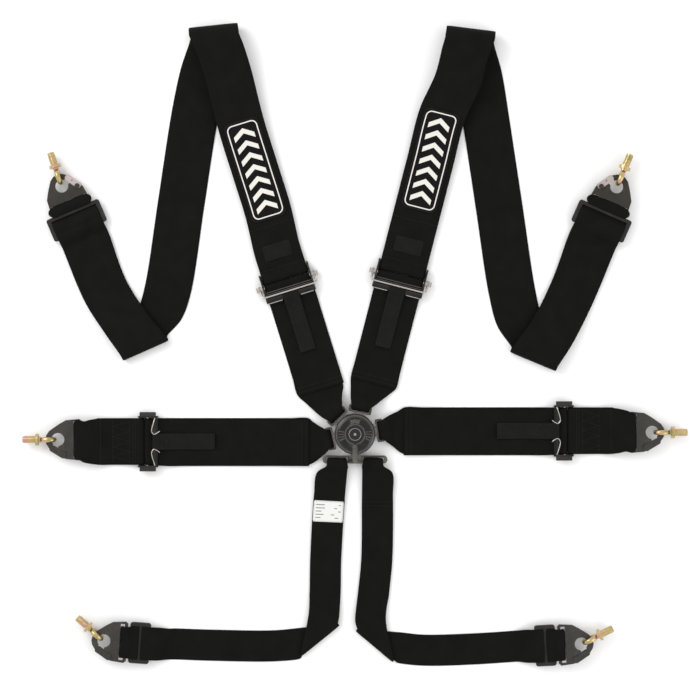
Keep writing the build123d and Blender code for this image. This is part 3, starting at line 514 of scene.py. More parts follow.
# ------------------------------------------------------------------ stitches
def build_stitcher():
    """Geometry nodes: a lozenge of thread at every spacing along each line of its input."""
    tree = bpy.data.node_groups.new("stitch_run", "GeometryNodeTree")
    tree.interface.new_socket(name="Geometry", in_out="INPUT", socket_type="NodeSocketGeometry")
    for label, kind in (("Spacing", "NodeSocketFloat"), ("Stitch Length", "NodeSocketFloat"),
                        ("Thread Radius", "NodeSocketFloat"), ("Thread", "NodeSocketMaterial")):
        tree.interface.new_socket(name=label, in_out="INPUT", socket_type=kind)
    tree.interface.new_socket(name="Geometry", in_out="OUTPUT", socket_type="NodeSocketGeometry")
    start, end = tree.nodes.new("NodeGroupInput"), tree.nodes.new("NodeGroupOutput")
    to_curve = tree.nodes.new("GeometryNodeMeshToCurve")
    resample = tree.nodes.new("GeometryNodeResampleCurve")
    resample.mode = "LENGTH"
    bead = tree.nodes.new("GeometryNodeMeshUVSphere")
    bead.inputs["Segments"].default_value = 6
    bead.inputs["Rings"].default_value = 4
    bead.inputs["Radius"].default_value = 1.0
    scale = tree.nodes.new("ShaderNodeCombineXYZ")
    half = tree.nodes.new("ShaderNodeMath")
    half.operation = "MULTIPLY"
    half.inputs[1].default_value = 0.5
    shape = tree.nodes.new("GeometryNodeTransform")
    place = tree.nodes.new("GeometryNodeInstanceOnPoints")
    tangent = tree.nodes.new("GeometryNodeInputTangent")
    align = tree.nodes.new("FunctionNodeAlignRotationToVector")
    align.axis = "Z"
    real = tree.nodes.new("GeometryNodeRealizeInstances")
    paint = tree.nodes.new("GeometryNodeSetMaterial")
    smooth = tree.nodes.new("GeometryNodeSetShadeSmooth")
    link = tree.links.new
    link(start.outputs["Geometry"], to_curve.inputs["Mesh"])
    link(to_curve.outputs["Curve"], resample.inputs["Curve"])
    link(start.outputs["Spacing"], resample.inputs["Length"])
    link(resample.outputs["Curve"], place.inputs["Points"])
    link(start.outputs["Stitch Length"], half.inputs[0])
    link(start.outputs["Thread Radius"], scale.inputs["X"])
    link(start.outputs["Thread Radius"], scale.inputs["Y"])
    link(half.outputs[0], scale.inputs["Z"])
    link(bead.outputs["Mesh"], shape.inputs["Geometry"])
    link(scale.outputs[0], shape.inputs["Scale"])
    link(shape.outputs["Geometry"], place.inputs["Instance"])
    link(tangent.outputs[0], align.inputs["Vector"])
    link(align.outputs[0], place.inputs["Rotation"])
    link(place.outputs["Instances"], real.inputs["Geometry"])
    link(real.outputs["Geometry"], smooth.inputs["Geometry"])
    link(smooth.outputs["Geometry"], paint.inputs["Geometry"])
    link(start.outputs["Thread"], paint.inputs["Material"])
    link(paint.outputs["Geometry"], end.inputs["Geometry"])
    return tree


STITCHER = build_stitcher()


def stitches(name, lines, thread=THREAD, spacing=3.2 * MM, length=2.7 * MM, radius=THREAD_R):
    """A plain mesh of stitches along lines, each an array of points in space."""
    vertices, edges = [], []
    for line in lines:
        base = len(vertices)
        vertices += [tuple(p) for p in line]
        edges += [(base + i, base + i + 1) for i in range(len(line) - 1)]
    mesh = bpy.data.meshes.new(name + "_lines")
    mesh.from_pydata(vertices, edges, [])
    guide = bpy.data.objects.new(name + "_lines", mesh)
    bpy.context.scene.collection.objects.link(guide)
    sewn = guide.modifiers.new("stitches", "NODES")
    sewn.node_group = STITCHER
    values = {"Spacing": spacing, "Stitch Length": length, "Thread Radius": radius, "Thread": thread}
    for item in STITCHER.interface.items_tree:
        if item.in_out == "INPUT" and item.name in values:
            sewn[item.identifier] = values[item.name]
    ready = guide.evaluated_get(bpy.context.evaluated_depsgraph_get())
    plain = bpy.data.meshes.new_from_object(ready)
    guide.modifiers.clear()
    bpy.data.objects.remove(guide)
    made = bpy.data.objects.new(name, plain)
    bpy.context.scene.collection.objects.link(made)
    return made


def line_on(web, points, lift, step=1.5 * MM):
    """A line over a run's face through (s, u) points."""
    points = np.array(points, float)
    out = []
    for a, b in zip(points[:-1], points[1:]):
        size = math.hypot(b[0] - a[0], (b[1] - a[1]) * web.full / 2)
        count = max(2, int(size / step))
        for t in np.linspace(0, 1, count, endpoint=False):
            out.append(a + (b - a) * t)
    out.append(points[-1])
    out = np.array(out)
    return web.point(out[:, 0], out[:, 1], lift)


def cross_rows(web, rows, lift, edge=0.9):
    return [line_on(web, [(s, -edge), (s, edge)], lift) for s in rows]


def zigzag(web, s0, s1, lift, teeth=3, edge=0.86):
    """A W pattern across the width, boxed by two rows."""
    points = []
    for k in range(2 * teeth + 1):
        u = -edge + 2 * edge * k / (2 * teeth)
        points.append((s0 if k % 2 == 0 else s1, u))
    return [line_on(web, points, lift)] + cross_rows(web, (s0, s1), lift, edge)


def box_line(web, s0, s1, edge, lift):
    return line_on(web, [(s0, -edge), (s1, -edge), (s1, edge), (s0, edge), (s0, -edge)], lift)


# ------------------------------------------------------------------ arms
def wrap(x, y, z, heading, first, last, width, cup=0.0, slack=0.0, top_width=None, count=9):
    """Stations round a bar; the angle is 90 over it, 0 on its outer side, -90 under it.

    slack is how far a loose loop stands out past a snug one; top_width is the width over the bar.
    """
    found = []
    for angle in np.linspace(first, last, count):
        px, py = ahead(x, y, heading, (WRAP + slack) * cosd(angle))
        wide = width
        if top_width and sind(angle) > 0:
            wide = width + (top_width - width) * sind(angle) ** 1.5
        found.append((px, py, z + WRAP * sind(angle), heading, wide, cup))
    return found


def adjustable_run(arm, hem, sewn=62 * MM):
    """Tail, load bar, long layer and tongue loop of an arm, from the tail's hem."""
    tx, ty, tz = place_of(f"strap_swing_{arm}")
    lx, ly, lz = place_of(f"adjuster_tilt_{arm}")
    tongue = heading_of(f"strap_swing_{arm}")
    heading = math.degrees(math.atan2(-joints[f"adjuster_tilt_{arm}"]["axis"][0],
                                      joints[f"adjuster_tilt_{arm}"]["axis"][1]))
    wide = WEB_WIDE
    hx, hy = hem
    z2, z3 = FLOOR_Z + LAYER, FLOOR_Z + 2 * LAYER
    reach = math.hypot(lx - hx, ly - hy)
    tail = [(*ahead(hx, hy, heading, d), z, heading, wide, 0) for d, z in
            ((0, z3 + 0.3 * MM), (30 * MM, z3), (60 * MM, z2 + 0.2 * MM), (reach - 60 * MM, z2),
             (reach - 32 * MM, z2 + 2.4 * MM))]
    round_load = wrap(lx, ly, lz, heading, 80, -80, wide)
    back = [(*ahead(lx, ly, heading, -d), z, heading, wide, 0) for d, z in
            ((30 * MM, FLOOR_Z + 0.4 * MM), (55 * MM, FLOOR_Z), (reach - 65 * MM, FLOOR_Z),
             (reach - 30 * MM, z2),
             (reach - 1 * MM, z2 + 0.3 * MM))]
    tongue = nearest(tongue, heading)
    gap = math.hypot(hx - tx, hy - ty)
    fan = []
    for share, z, turn, cup in ((0.78, 2.9 * MM, 0.75, 0.6 * MM), (0.52, 4.6 * MM, 0.4, 1.8 * MM),
                                (0.27, 0.75 * tz + 4.2 * MM, 0.1, 2.4 * MM)):
        cx, cy = tx + (hx - tx) * share, ty + (hy - ty) * share
        fan.append((cx, cy, z, tongue + turn * (heading - tongue), GATHERED + (wide - GATHERED) * share,
                    cup))
    over = wrap(tx, ty, tz, tongue, 95, 265, WEB_TONGUE, 0.6 * MM, BAR_SLACK)
    under = []
    for share, z, turn in ((0.3, tz - 5.4 * MM, 0.2), (0.62, FLOOR_Z + 1.2 * MM, 0.6)):
        cx, cy = tx + (hx - tx) * share, ty + (hy - ty) * share
        under.append((cx, cy, z, tongue + turn * (heading - tongue),
                      (GATHERED + (wide - GATHERED) * share) * 0.95, 0))
    under += [(*ahead(hx, hy, heading, d), FLOOR_Z, heading, wide * 0.96, 0) for d in (5 * MM, sewn * 0.6)]
    return Webbing(tail + round_load + back + fan + over + under, wide), reach, heading


def tab_run(arm, back):
    """Pull tab from the adjuster's front bar, lying over the tail."""
    lx, ly, lz = place_of(f"adjuster_tilt_{arm}")
    axis = joints[f"adjuster_tilt_{arm}"]["axis"]
    heading = math.degrees(math.atan2(-axis[0], axis[1]))
    bar_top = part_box(f"adjuster_{arm}")[1][2]
    low = 4.4 * MM
    ways = [(back - 8 * MM, bar_top + 0.9 * MM), (back + 1 * MM, bar_top + 1.0 * MM),
            (back + 5 * MM, bar_top - 1 * MM),
            (back + 16 * MM, low + 3.4 * MM), (back + 32 * MM, low + 1.2 * MM), (back + 60 * MM,
                                                                                 low + 0.5 * MM),
            (back + 91 * MM, low + 0.7 * MM)]
    stations = [(*ahead(lx, ly, heading, -d), z, heading + 180, 26 * MM, 0.25 * MM) for d, z in ways]
    return Webbing(stations, 26 * MM, 1.7), heading


def sew(name, body, node_names, run, material, stitched, layers=None):
    """Finish one run: its mesh, its stitching, what it replaces and what it rides on."""
    strap = run.solid(name, material, layers or WEB_T)
    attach(strap, body)
    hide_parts(*node_names)
    if stitched:
        thread = stitches(f"stitching_{name}", stitched)
        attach(thread, body)
    return strap


HEMS = {
    "shoulder_left": (-0.0535, 0.071),
    "shoulder_right": (0.0295, 0.0805),
    "lap_left": (-0.0735, -0.0145),
    "lap_right": (0.078, 0.0028),
}
ADJUSTER_BACK = {"shoulder_left": 25 * MM, "shoulder_right": 25 * MM, "lap_left": 17 * MM,
                 "lap_right": 17 * MM}
FACE = WEB_T / 2 + 0.12 * MM  # threads stand this far off the middle of a layer

for arm, hem in HEMS.items():
    run, reach, heading = adjustable_run(arm, hem)
    hem_rows = cross_rows(run, (5 * MM, 12 * MM), FACE, 0.93)
    sew(f"webbing_{arm}", f"strap_{arm}", [f"strap_{arm}"], run, BLACK_WEB, hem_rows)
    tab, _ = tab_run(arm, ADJUSTER_BACK[arm])
    length = tab.length
    tab_lines = [box_line(tab, 14 * MM, 32 * MM, 0.8, 1.25 * MM),
                 line_on(tab, [(14 * MM, -0.8), (32 * MM, 0.8)], 1.25 * MM),
                 line_on(tab, [(14 * MM, 0.8), (32 * MM, -0.8)], 1.25 * MM),
                 line_on(tab, [(38 * MM, -0.82), (length - 5 * MM, -0.82)], 1.25 * MM),
                 line_on(tab, [(38 * MM, 0.82), (length - 5 * MM, 0.82)], 1.25 * MM),
                 line_on(tab, [(length - 5 * MM, -0.82), (length - 5 * MM, 0.82)], 1.25 * MM)]
    sew(f"tab_{arm}", f"adjuster_{arm}", [f"pull_tab_{arm}"], tab, TAB_WEB, tab_lines,
        2.2 * MM)

# anchor webbing of the laps: a loop on the adjuster, sewn flat, and a loop on the hook
for arm in ("lap_left", "lap_right"):
    fx, fy, fz = place_of(f"anchor_strap_bend_{arm}")
    hx, hy, hz = place_of(f"hook_swing_{arm}")
    heading = heading_of(f"hook_swing_{arm}")
    reach = math.hypot(hx - fx, hy - fy)
    z2 = FLOOR_Z + LAYER
    low = [(*ahead(fx, fy, heading, d), z, heading, w, 0) for d, z, w in
           ((reach * 0.72, 4.6 * MM, WEB_WIDE), (reach * 0.45, 2.2 * MM, WEB_WIDE),
            (14 * MM, 2.0 * MM, WEB_WIDE))]
    loop_in = wrap(fx, fy, fz, heading, 265, 95, WEB_WIDE, 0, 1.9 * MM)
    top = [(*ahead(fx, fy, heading, d), z, heading, w, cup) for d, z, w, cup in
           ((12 * MM, 6.6 * MM, WEB_WIDE, 0), (30 * MM, 4.2 * MM, WEB_WIDE, 0),
            (reach * 0.5, 4.2 * MM, WEB_WIDE, 0),
            (reach - 34 * MM, 8.0 * MM, WEB_WIDE, 0.2 * MM), (reach - 18 * MM, 13.6 * MM, 71 * MM, 0.5 * MM),
            (reach - 7 * MM, hz + 3.3 * MM, 66 * MM, 0.3 * MM))]
    loop_out = wrap(hx, hy, hz, heading, 88, -88, WEB_HOOK, 0, HOOK_SLACK, 65 * MM)
    home = [(*ahead(fx, fy, heading, d), z, heading, w, 0) for d, z, w in
            ((reach - 9 * MM, hz - 4.4 * MM, 58 * MM), (reach - 26 * MM, 7.2 * MM, 70 * MM),
             (reach * 0.62, 1.4 * MM, 74 * MM), (reach * 0.45, 0.9 * MM, 74 * MM))]
    run = Webbing(low + loop_in + top + loop_out + home, WEB_WIDE, 2.2)
    s_top = run.along[np.argmin(np.linalg.norm(run.middle - np.array([fx, fy, fz + WRAP]), axis=1))]
    rows = zigzag(run, s_top + 19 * MM, s_top + 46 * MM, FACE, 4)
    rows += cross_rows(run, (s_top + 9 * MM, s_top + 13 * MM, s_top + 66 * MM), FACE, 0.92)
    sew(f"webbing_anchor_{arm}", f"anchor_strap_{arm}", [f"anchor_strap_{arm}"], run, BLACK_WEB,
        rows)

# ------------------------------------------------------------------ shoulder webbing with its two folds
TOP_ROLL = 14 * MM
LOW_ROLL = 7 * MM


def fold(edge, outward, width, radius, first, last, count=11):
    """Stations of a fold whose outline passes through edge; 0 is the bottom of the roll, 180 its top."""
    cx, cy = ahead(*edge, outward, -(radius + WEB_T / 2))
    found = []
    for q in np.linspace(first, last, count):
        x, y = ahead(cx, cy, outward, radius * sind(q))
        heading = outward if first > last else outward + 180
        found.append((x, y, FLOOR_Z + radius - radius * cosd(q), heading, width, 0))
    return found


SHOULDERS = {
    "shoulder_left": {
        "patch": (-0.160, 0.423), "top_edge": (-0.227, 0.654), "top_out": 96.0,
        "down": [(-0.2435, 0.578), (-0.257, 0.514), (-0.279, 0.372), (-0.301, 0.230), (-0.316, 0.183)],
        "down_heading": [79.0, 80.0, 81.0, 83.0, 92.0],
        "low_edge": (-0.335, 0.133), "low_out": -66.0,
        "rise": [(-0.366, 0.176), (-0.401, 0.230), (-0.424, 0.288)], "rise_heading": [116.0, 117.0, 114.0],
    },
    "shoulder_right": {
        "patch": (0.121, 0.438), "top_edge": (0.186, 0.649), "top_out": 83.0,
        "down": [(0.1995, 0.572), (0.212, 0.494), (0.232, 0.362), (0.252, 0.230), (0.266, 0.172)],
        "down_heading": [99.5, 98.6, 98.6, 97.0, 88.0],
        "low_edge": (0.285, 0.1155), "low_out": -112.9,
        "rise": [(0.316, 0.163), (0.350, 0.230), (0.373, 0.286)], "rise_heading": [63.0, 63.5, 66.0],
    },
}


def through_slide(x, y, z, heading, width, half, over_ends):
    """Stations through a three-bar slide, from its inner end.

    The webbing covers the inner bar and the middle bar and dives under the outer one, or, with
    over_ends, covers both end bars and dives under the middle one.
    """
    under, over = z - 2.5 * MM, z + 2.4 * MM
    if over_ends:
        near = [(5.2 * MM, over + 0.5 * MM), (2.4 * MM, over + 0.1 * MM), (5.6 * MM, z + 0.4 * MM),
                (3.8 * MM, under)]
        ways = [(-half - 13 * MM, z - 2.0 * MM), (-half - 2 * MM, over - 0.6 * MM),
                (-half + 3 * MM, over + 0.3 * MM)]
        ways += [(-d, h) for d, h in near] + near[::-1] + [(half - 3 * MM, over + 0.5 * MM)]
    else:
        ways = [(-half - 24 * MM, 5.6 * MM), (-half - 13 * MM, 4.6 * MM), (-half - 4 * MM, over - 2.6 * MM),
                (-half + 3 * MM, over + 0.4 * MM), (-half + 9 * MM, over + 0.1 * MM), (-2 * MM,
                                                                                       over + 1.1 * MM),
                (5 * MM, over + 0.1 * MM), (half - 7.5 * MM, under + 1.4 * MM), (half - 1 * MM,
                                                                                 under - 0.2 * MM)]
    return [(*ahead(x, y, heading, d), h, heading, width, 0) for d, h in ways]


def centre_of(name):
    low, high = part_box(name)
    return (low[0] + high[0]) / 2, (low[1] + high[1]) / 2, (low[2] + high[2]) / 2


def hook_loop(arm, first, width, top_width):
    """Stations from the end of a slide round the hook's bar and back under."""
    hx, hy, hz = place_of(f"hook_swing_{arm}")
    heading = heading_of(f"hook_swing_{arm}")
    return wrap(hx, hy, hz, heading, first, -60, width, 0, HOOK_SLACK, top_width, 14)


PANEL_LONG = 166 * MM
PANEL_WIDE = 59 * MM
OUTLINE_LONG = 156 * MM
OUTLINE_WIDE = 50 * MM
OUTLINE_THICK = 1.8 * MM
OUTLINE_POINTS = 160
CHEVRONS = 7
CHEVRON_PITCH = 20 * MM


def patch_on(web, name, body, s_mid):
    """A shoulder patch: a padded cloth panel, a white outline and a plain row of even chevrons."""
    full = web.full
    long, wide = PANEL_LONG, PANEL_WIDE
    low, high = WEB_T / 2 + 0.05 * MM, WEB_T / 2 + 1.5 * MM
    panel = web.strip(f"{name}_panel", PATCH_CLOTH, (s_mid - long / 2, s_mid + long / 2),
                      (-wide / full, wide / full), low, high, 9 * MM, 16)
    outer = rounded_loop(s_mid, 0, OUTLINE_LONG, OUTLINE_WIDE, 9 * MM, full)
    inner = rounded_loop(s_mid, 0, OUTLINE_LONG - 2 * OUTLINE_THICK, OUTLINE_WIDE - 2 * OUTLINE_THICK,
                         9 * MM - OUTLINE_THICK, full)
    faces, vertices = [], []
    rings = []
    for loop in (outer, inner):
        points = np.array(loop + loop[:1])
        steps = np.linalg.norm(np.diff(points * [1, full / 2], axis=0), axis=1)
        along = np.concatenate([[0], np.cumsum(steps)])
        places = np.linspace(0, along[-1], OUTLINE_POINTS, endpoint=False)
        rings.append(np.stack([np.interp(places, along, points[:, k]) for k in (0, 1)], axis=-1))
    count = OUTLINE_POINTS
    for ring_points, lift in ((rings[0], high - 0.1 * MM), (rings[0], high + 0.28 * MM),
                              (rings[1], high + 0.28 * MM), (rings[1], high - 0.1 * MM)):
        vertices.append(web.point(ring_points[:, 0], ring_points[:, 1], lift))
    vertices = np.vstack(vertices)
    for a in range(4):
        b = (a + 1) % 4
        for i in range(count):
            j = (i + 1) % count
            faces.append((a * count + i, a * count + j, b * count + j, b * count + i))
    ring = mesh_piece(f"{name}_outline", vertices, faces, WHITE_THREAD, False)
    marks = []
    bar, tip, edge = 4.2 * MM, 11 * MM, 17 * MM / (full / 2)
    for k in range(CHEVRONS):
        s0 = s_mid + (k - (CHEVRONS - 1) / 2) * CHEVRON_PITCH
        marks.append(web.pad(f"{name}_chevron", WHITE_THREAD,
                             [(s0 - bar - tip / 2, -edge), (s0 - bar + tip / 2, 0),
                              (s0 - bar - tip / 2, edge),
                              (s0 + bar - tip / 2, edge), (s0 + bar + tip / 2, 0), (s0 + bar - tip / 2,
                                                                                    -edge)],
                             high - 0.1 * MM, high + 0.3 * MM))
    motif = merge_pieces(f"{name}_motif", [ring] + marks)
    edge_line = rounded_loop(s_mid, 0, long - 4 * MM, wide - 4 * MM, 7.5 * MM, full)
    seam = stitches(f"{name}_seam", [line_on(web, edge_line + edge_line[:1], high + 0.05 * MM)], THREAD)
    for piece in (panel, motif, seam):
        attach(piece, body)


def keeper_on(web, name, body, s_mid):
    """A sewn webbing keeper, 46 by 26."""
    half, wide = 13 * MM, 46 * MM / web.full
    low, high = WEB_T / 2, WEB_T / 2 + 1.5 * MM
    pad = web.strip(f"{name}_pad", TAB_WEB, (s_mid - half, s_mid + half), (-wide, wide), low, high, 2 * MM,
                    12)
    seam = stitches(f"{name}_seam",
                    [box_line(web, s_mid - half + 2.5 * MM, s_mid + half - 2.5 * MM, wide * 0.9,
                                              high + 0.05 * MM)])
    for piece in (pad, seam):
        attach(piece, body)


for arm, data in SHOULDERS.items():
    fx, fy, fz = place_of(f"anchor_strap_bend_{arm}")
    heading = heading_of(f"anchor_strap_bend_{arm}")
    sx, sy, sz = centre_of(f"slide_{arm}")
    slide_heading = heading_of(f"hook_swing_{arm}")
    top_z = FLOOR_Z + 2 * TOP_ROLL
    px, py = data["patch"]
    top = fold(data["top_edge"], data["top_out"], 78.4 * MM, TOP_ROLL, 180, 0)
    start = [(*ahead(fx, fy, heading, d), z, heading, 71 * MM, 0) for d, z in
             ((70 * MM, 2.6 * MM), (30 * MM, 2.2 * MM), (14 * MM, 2.6 * MM))]
    leg2 = [(*ahead(fx, fy, heading, 8 * MM), 8.6 * MM, heading, WEB_WIDE, 0),
            (*ahead(fx, fy, heading, 14 * MM), 5.9 * MM, heading, WEB_WIDE, 0),
            (*ahead(fx, fy, heading, 24 * MM), 6.9 * MM, heading, WEB_WIDE, 0),
            (*ahead(fx, fy, heading, 44 * MM), 5.8 * MM, heading, WEB_WIDE, 0),
            (*ahead(px, py, heading, -70 * MM), 7.0 * MM, heading, WEB_WIDE, 0),
            (px, py, 8.5 * MM, heading, WEB_WIDE, 0),
            (*ahead(px, py, heading, WEB_WIDE), 13.0 * MM, heading, WEB_WIDE, 0),
            (*ahead(*data["top_edge"], heading, -85 * MM), top_z - 8.0 * MM, heading, WEB_WIDE, 0),
            (*ahead(*data["top_edge"], heading, -45 * MM), top_z - 1.5 * MM, heading - 3, WEB_WIDE, 0)]
    down = [(x, y, FLOOR_Z, h, WEB_WIDE, 0) for (x, y), h in zip(data["down"], data["down_heading"])]
    low = fold(data["low_edge"], data["low_out"], 79 * MM, LOW_ROLL, 0, 180)
    rise = [(x, y, z, h, WEB_WIDE, 0) for (x, y), h, z in
            zip(data["rise"][:2], data["rise_heading"], (11.0 * MM, 4.2 * MM))]
    slide_run = through_slide(sx, sy, sz, slide_heading, 78.2 * MM, 19 * MM, False)
    stations = (start + wrap(fx, fy, fz, heading, 262, 95, WEB_WIDE, 0,
                             1.9 * MM) + leg2 + top + down + low + rise + slide_run
                + hook_loop(arm, 150, WEB_HOOK, 74 * MM))
    run = Webbing(stations, WEB_WIDE, 3.1 if arm.endswith("left") else 0.6)
    centre = np.array([px, py, 8.5 * MM])
    s_patch = float(run.along[np.argmin(np.linalg.norm(run.middle - centre, axis=1))])
    s_bar = float(run.along[np.argmin(np.linalg.norm(run.middle - np.array([fx, fy, fz + WRAP]), axis=1))])
    stitched = cross_rows(run, (s_bar + 16 * MM, s_bar + 84 * MM), FACE, 0.92)
    body = f"anchor_strap_{arm}"
    sew(f"webbing_anchor_{arm}", body, [body], run, BLACK_WEB, stitched)
    patch_on(run, f"patch_{arm}", body, s_patch)
    keeper_on(run, f"keeper_{arm}", body, s_bar + 42 * MM)

# ------------------------------------------------------------------ crotch webbing
CROTCH_ROLL = 3 * MM
CROTCHES = {
    "crotch_left": {
        "down": [(-0.0365, -0.062, 268), (-0.041, -0.100, 267), (-0.047, -0.202, 269),
                 (-0.048, -0.254, 270),
                 (-0.050, -0.292, 272)],
        "edge": (-0.0545, -0.3325), "out": -51.0,
        "away": [(-0.088, -0.337, 358), (-0.130, -0.341, 359), (-0.230, -0.340, 359),
                 (-0.292, -0.338, 357)],
    },
    "crotch_right": {
        "down": [(0.0355, -0.062, 271), (0.036, -0.100, 270), (0.035, -0.202, 268), (0.030, -0.254, 266),
                 (0.025, -0.300, 264)],
        "edge": (0.0305, -0.342), "out": -130.0,
        "away": [(0.070, -0.344, 182), (0.110, -0.348, 181), (0.190, -0.346, 182), (0.253, -0.342, 183)],
    },
}
for arm, data in CROTCHES.items():
    bx, by, bz = place_of(f"strap_swing_{arm}")
    heading = heading_of(f"strap_swing_{arm}")
    sx, sy, sz = centre_of(f"slide_{arm}")
    slide_heading = heading_of(f"hook_swing_{arm}")
    top_z = FLOOR_Z + 2 * CROTCH_ROLL
    start = [(data["down"][1][0], data["down"][1][1], 1.4 * MM, 270, 49 * MM, 0),
             (data["down"][0][0], data["down"][0][1], 3.0 * MM, 270, 46 * MM, 0),
             (*ahead(bx, by, heading, 9 * MM), bz - 4.2 * MM, heading, 36 * MM, -0.6 * MM)]
    loop_in = wrap(bx, by, bz, heading, 262, 92, 32 * MM, 0.5 * MM, BAR_SLACK)
    down = [(*ahead(bx, by, heading, 7 * MM), bz + 3.2 * MM, heading, 35 * MM, 1.6 * MM)]
    heights = (9.0 * MM, 5.0 * MM, 3.0 * MM, 3.6 * MM, top_z - 0.8 * MM)
    widths = (48 * MM, WEB_CROTCH, WEB_CROTCH, WEB_CROTCH, WEB_CROTCH)
    down += [(x, y, z, h, w, 0) for (x, y, h), z, w in zip(data["down"], heights, widths)]
    turn = fold(data["edge"], data["out"], 77 * MM, CROTCH_ROLL, 180, 0)
    away = [(x, y, FLOOR_Z, h, WEB_CROTCH, 0) for x, y, h in data["away"]]
    away.append((*ahead(sx, sy, slide_heading, -46 * MM), FLOOR_Z + 1.0 * MM, slide_heading + 180,
                 WEB_CROTCH, 0))
    flip = [(x, y, z, h + 180, w, c) for x, y, z, h, w, c in
            through_slide(sx, sy, sz, slide_heading, 53.2 * MM, 16.5 * MM, True)
            + hook_loop(arm, 110, WEB_CROTCH, WEB_CROTCH)]
    run = Webbing(start + loop_in + down + turn + away + flip, WEB_CROTCH,
                  4.0 if arm.endswith("left") else 5.2)
    s_bar = float(run.along[np.argmin(np.linalg.norm(run.middle - np.array([bx, by, bz + WRAP]), axis=1))])
    stitched = cross_rows(run, (s_bar + 68 * MM, s_bar + 74 * MM), FACE, 0.92)
    body = f"strap_{arm}"
    sew(f"webbing_{arm}", body, [body], run, BLACK_WEB, stitched)
    if arm == "crotch_left":
        s_mid, label_half = s_bar + 84 * MM, 17 * MM
        label = run.strip("care_label", LABEL_CLOTH, (s_mid - label_half, s_mid + label_half),
                          (-0.96, 0.96),
                          WEB_T / 2, WEB_T / 2 + 0.5 * MM, 1 * MM, 12)
        lines = []
        for k, reach in enumerate((0.78, 0.55, 0.8, 0.4, 0.66)):
            s0 = s_mid - 11 * MM + k * 5.2 * MM
            lines.append(run.pad("label_line", LABEL_INK, [(s0, -0.8), (s0, reach), (s0 + 1.3 * MM, reach),
                                                           (s0 + 1.3 * MM, -0.8)],
                                 WEB_T / 2 + 0.4 * MM, WEB_T / 2 + 0.58 * MM))
        lines = merge_pieces("label_lines", lines)
        seam = stitches("label_seam",
                        [box_line(run, s_mid - label_half + 1.5 * MM, s_mid + label_half - 1.5 * MM,
                                                0.92, WEB_T / 2 + 0.55 * MM)], WHITE_THREAD)
        for piece in (label, lines, seam):
            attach(piece, body)

# ------------------------------------------------------------------ wires, threads and inlays
def tube(name, points, radius, material, step=1.2 * MM, sides=10, smooth_path=True):
    """A round wire through points."""
    path = curve_through(points, step) if smooth_path else np.asarray(points, float)
    tangent = np.gradient(path, axis=0)
    tangent /= np.linalg.norm(tangent, axis=1)[:, None]
    up = np.tile(np.array([0.0, 0.0, 1.0]), (len(path), 1))
    side = np.cross(tangent, up)
    flat = np.linalg.norm(side, axis=1) < 0.05
    side[flat] = np.array([1.0, 0.0, 0.0])
    side /= np.linalg.norm(side, axis=1)[:, None]
    up = np.cross(side, tangent)
    vertices, faces = [], []
    for k in range(sides):
        angle = 2 * math.pi * k / sides
        vertices.append(path + radius * (math.cos(angle) * side + math.sin(angle) * up))
    vertices = np.stack(vertices, axis=1).reshape(-1, 3)
    for i in range(len(path) - 1):
        for k in range(sides):
            m = (k + 1) % sides
            faces.append((i * sides + k, i * sides + m, (i + 1) * sides + m, (i + 1) * sides + k))
    last = (len(path) - 1) * sides
    faces += [tuple(range(sides)), tuple(range(last, last + sides))]
    return mesh_piece(name, vertices, faces, material)


def slab(name, outline, low, high, material):
    """A flat plate between two heights; outline is a closed loop of (x, y)."""
    count = len(outline)
    vertices = [(x, y, low) for x, y in outline] + [(x, y, high) for x, y in outline]
    faces = [tuple(range(count)), tuple(range(count, 2 * count))]
    faces += [(i, (i + 1) % count, count + (i + 1) % count, count + i) for i in range(count)]
    return mesh_piece(name, vertices, faces, material, False)


def ride_on(piece, body):
    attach(piece, body)


def local(x, y, heading, along, left):
    return ahead(*ahead(x, y, heading, along), heading + 90, left)


# lap adjusters: a bent wire spring each side of the tab
SPRING = ((-12.8, 38.5, 12.0), (-11.2, 33.0, 14.3), (-8.0, 22.0, 14.6), (-7.6, 16.5, 14.6),
          (-11.0, 12.0, 14.6),
          (-15.6, 13.6, 14.4), (-20.6, 17.2, 13.6))
for arm in ("lap_left", "lap_right"):
    lx, ly, _ = place_of(f"adjuster_tilt_{arm}")
    heading = heading_of(f"hook_swing_{arm}")
    wires = []
    for side in (1, -1):
        path = [(*local(lx, ly, heading, a * MM, side * b * MM), z * MM) for a, b, z in SPRING]
        wires.append(tube(f"spring_{arm}", path, 0.95 * MM, BRIGHT_STEEL))
    ride_on(merge_pieces(f"wire_springs_{arm}", wires), f"adjuster_{arm}")

# shoulder adjusters: nickel lip along the front bar, parted in the middle for the tab
for arm in ("shoulder_left", "shoulder_right"):
    lx, ly, _ = place_of(f"adjuster_tilt_{arm}")
    heading = heading_of(f"anchor_strap_bend_{arm}")
    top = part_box(f"adjuster_{arm}")[1][2]
    trims = [tube(f"lip_{arm}",
                  [(*local(lx, ly, heading, a * MM, d * MM), top - 3.4 * MM) for d in (-38, -15, 15, 38)],
                  0.9 * MM, DULL_STEEL) for a in (-8.4, -11.6)]
    for side in (1, -1):
        ends = [(*local(lx, ly, heading, -25.6 * MM, side * d * MM), top - 2.2 * MM) for d in (36.5, 28,
                                                                                               15)]
        trims.append(tube(f"lip_{arm}", ends, 1.3 * MM, BRIGHT_STEEL))
    ride_on(merge_pieces(f"nickel_lip_{arm}", trims), f"adjuster_{arm}")
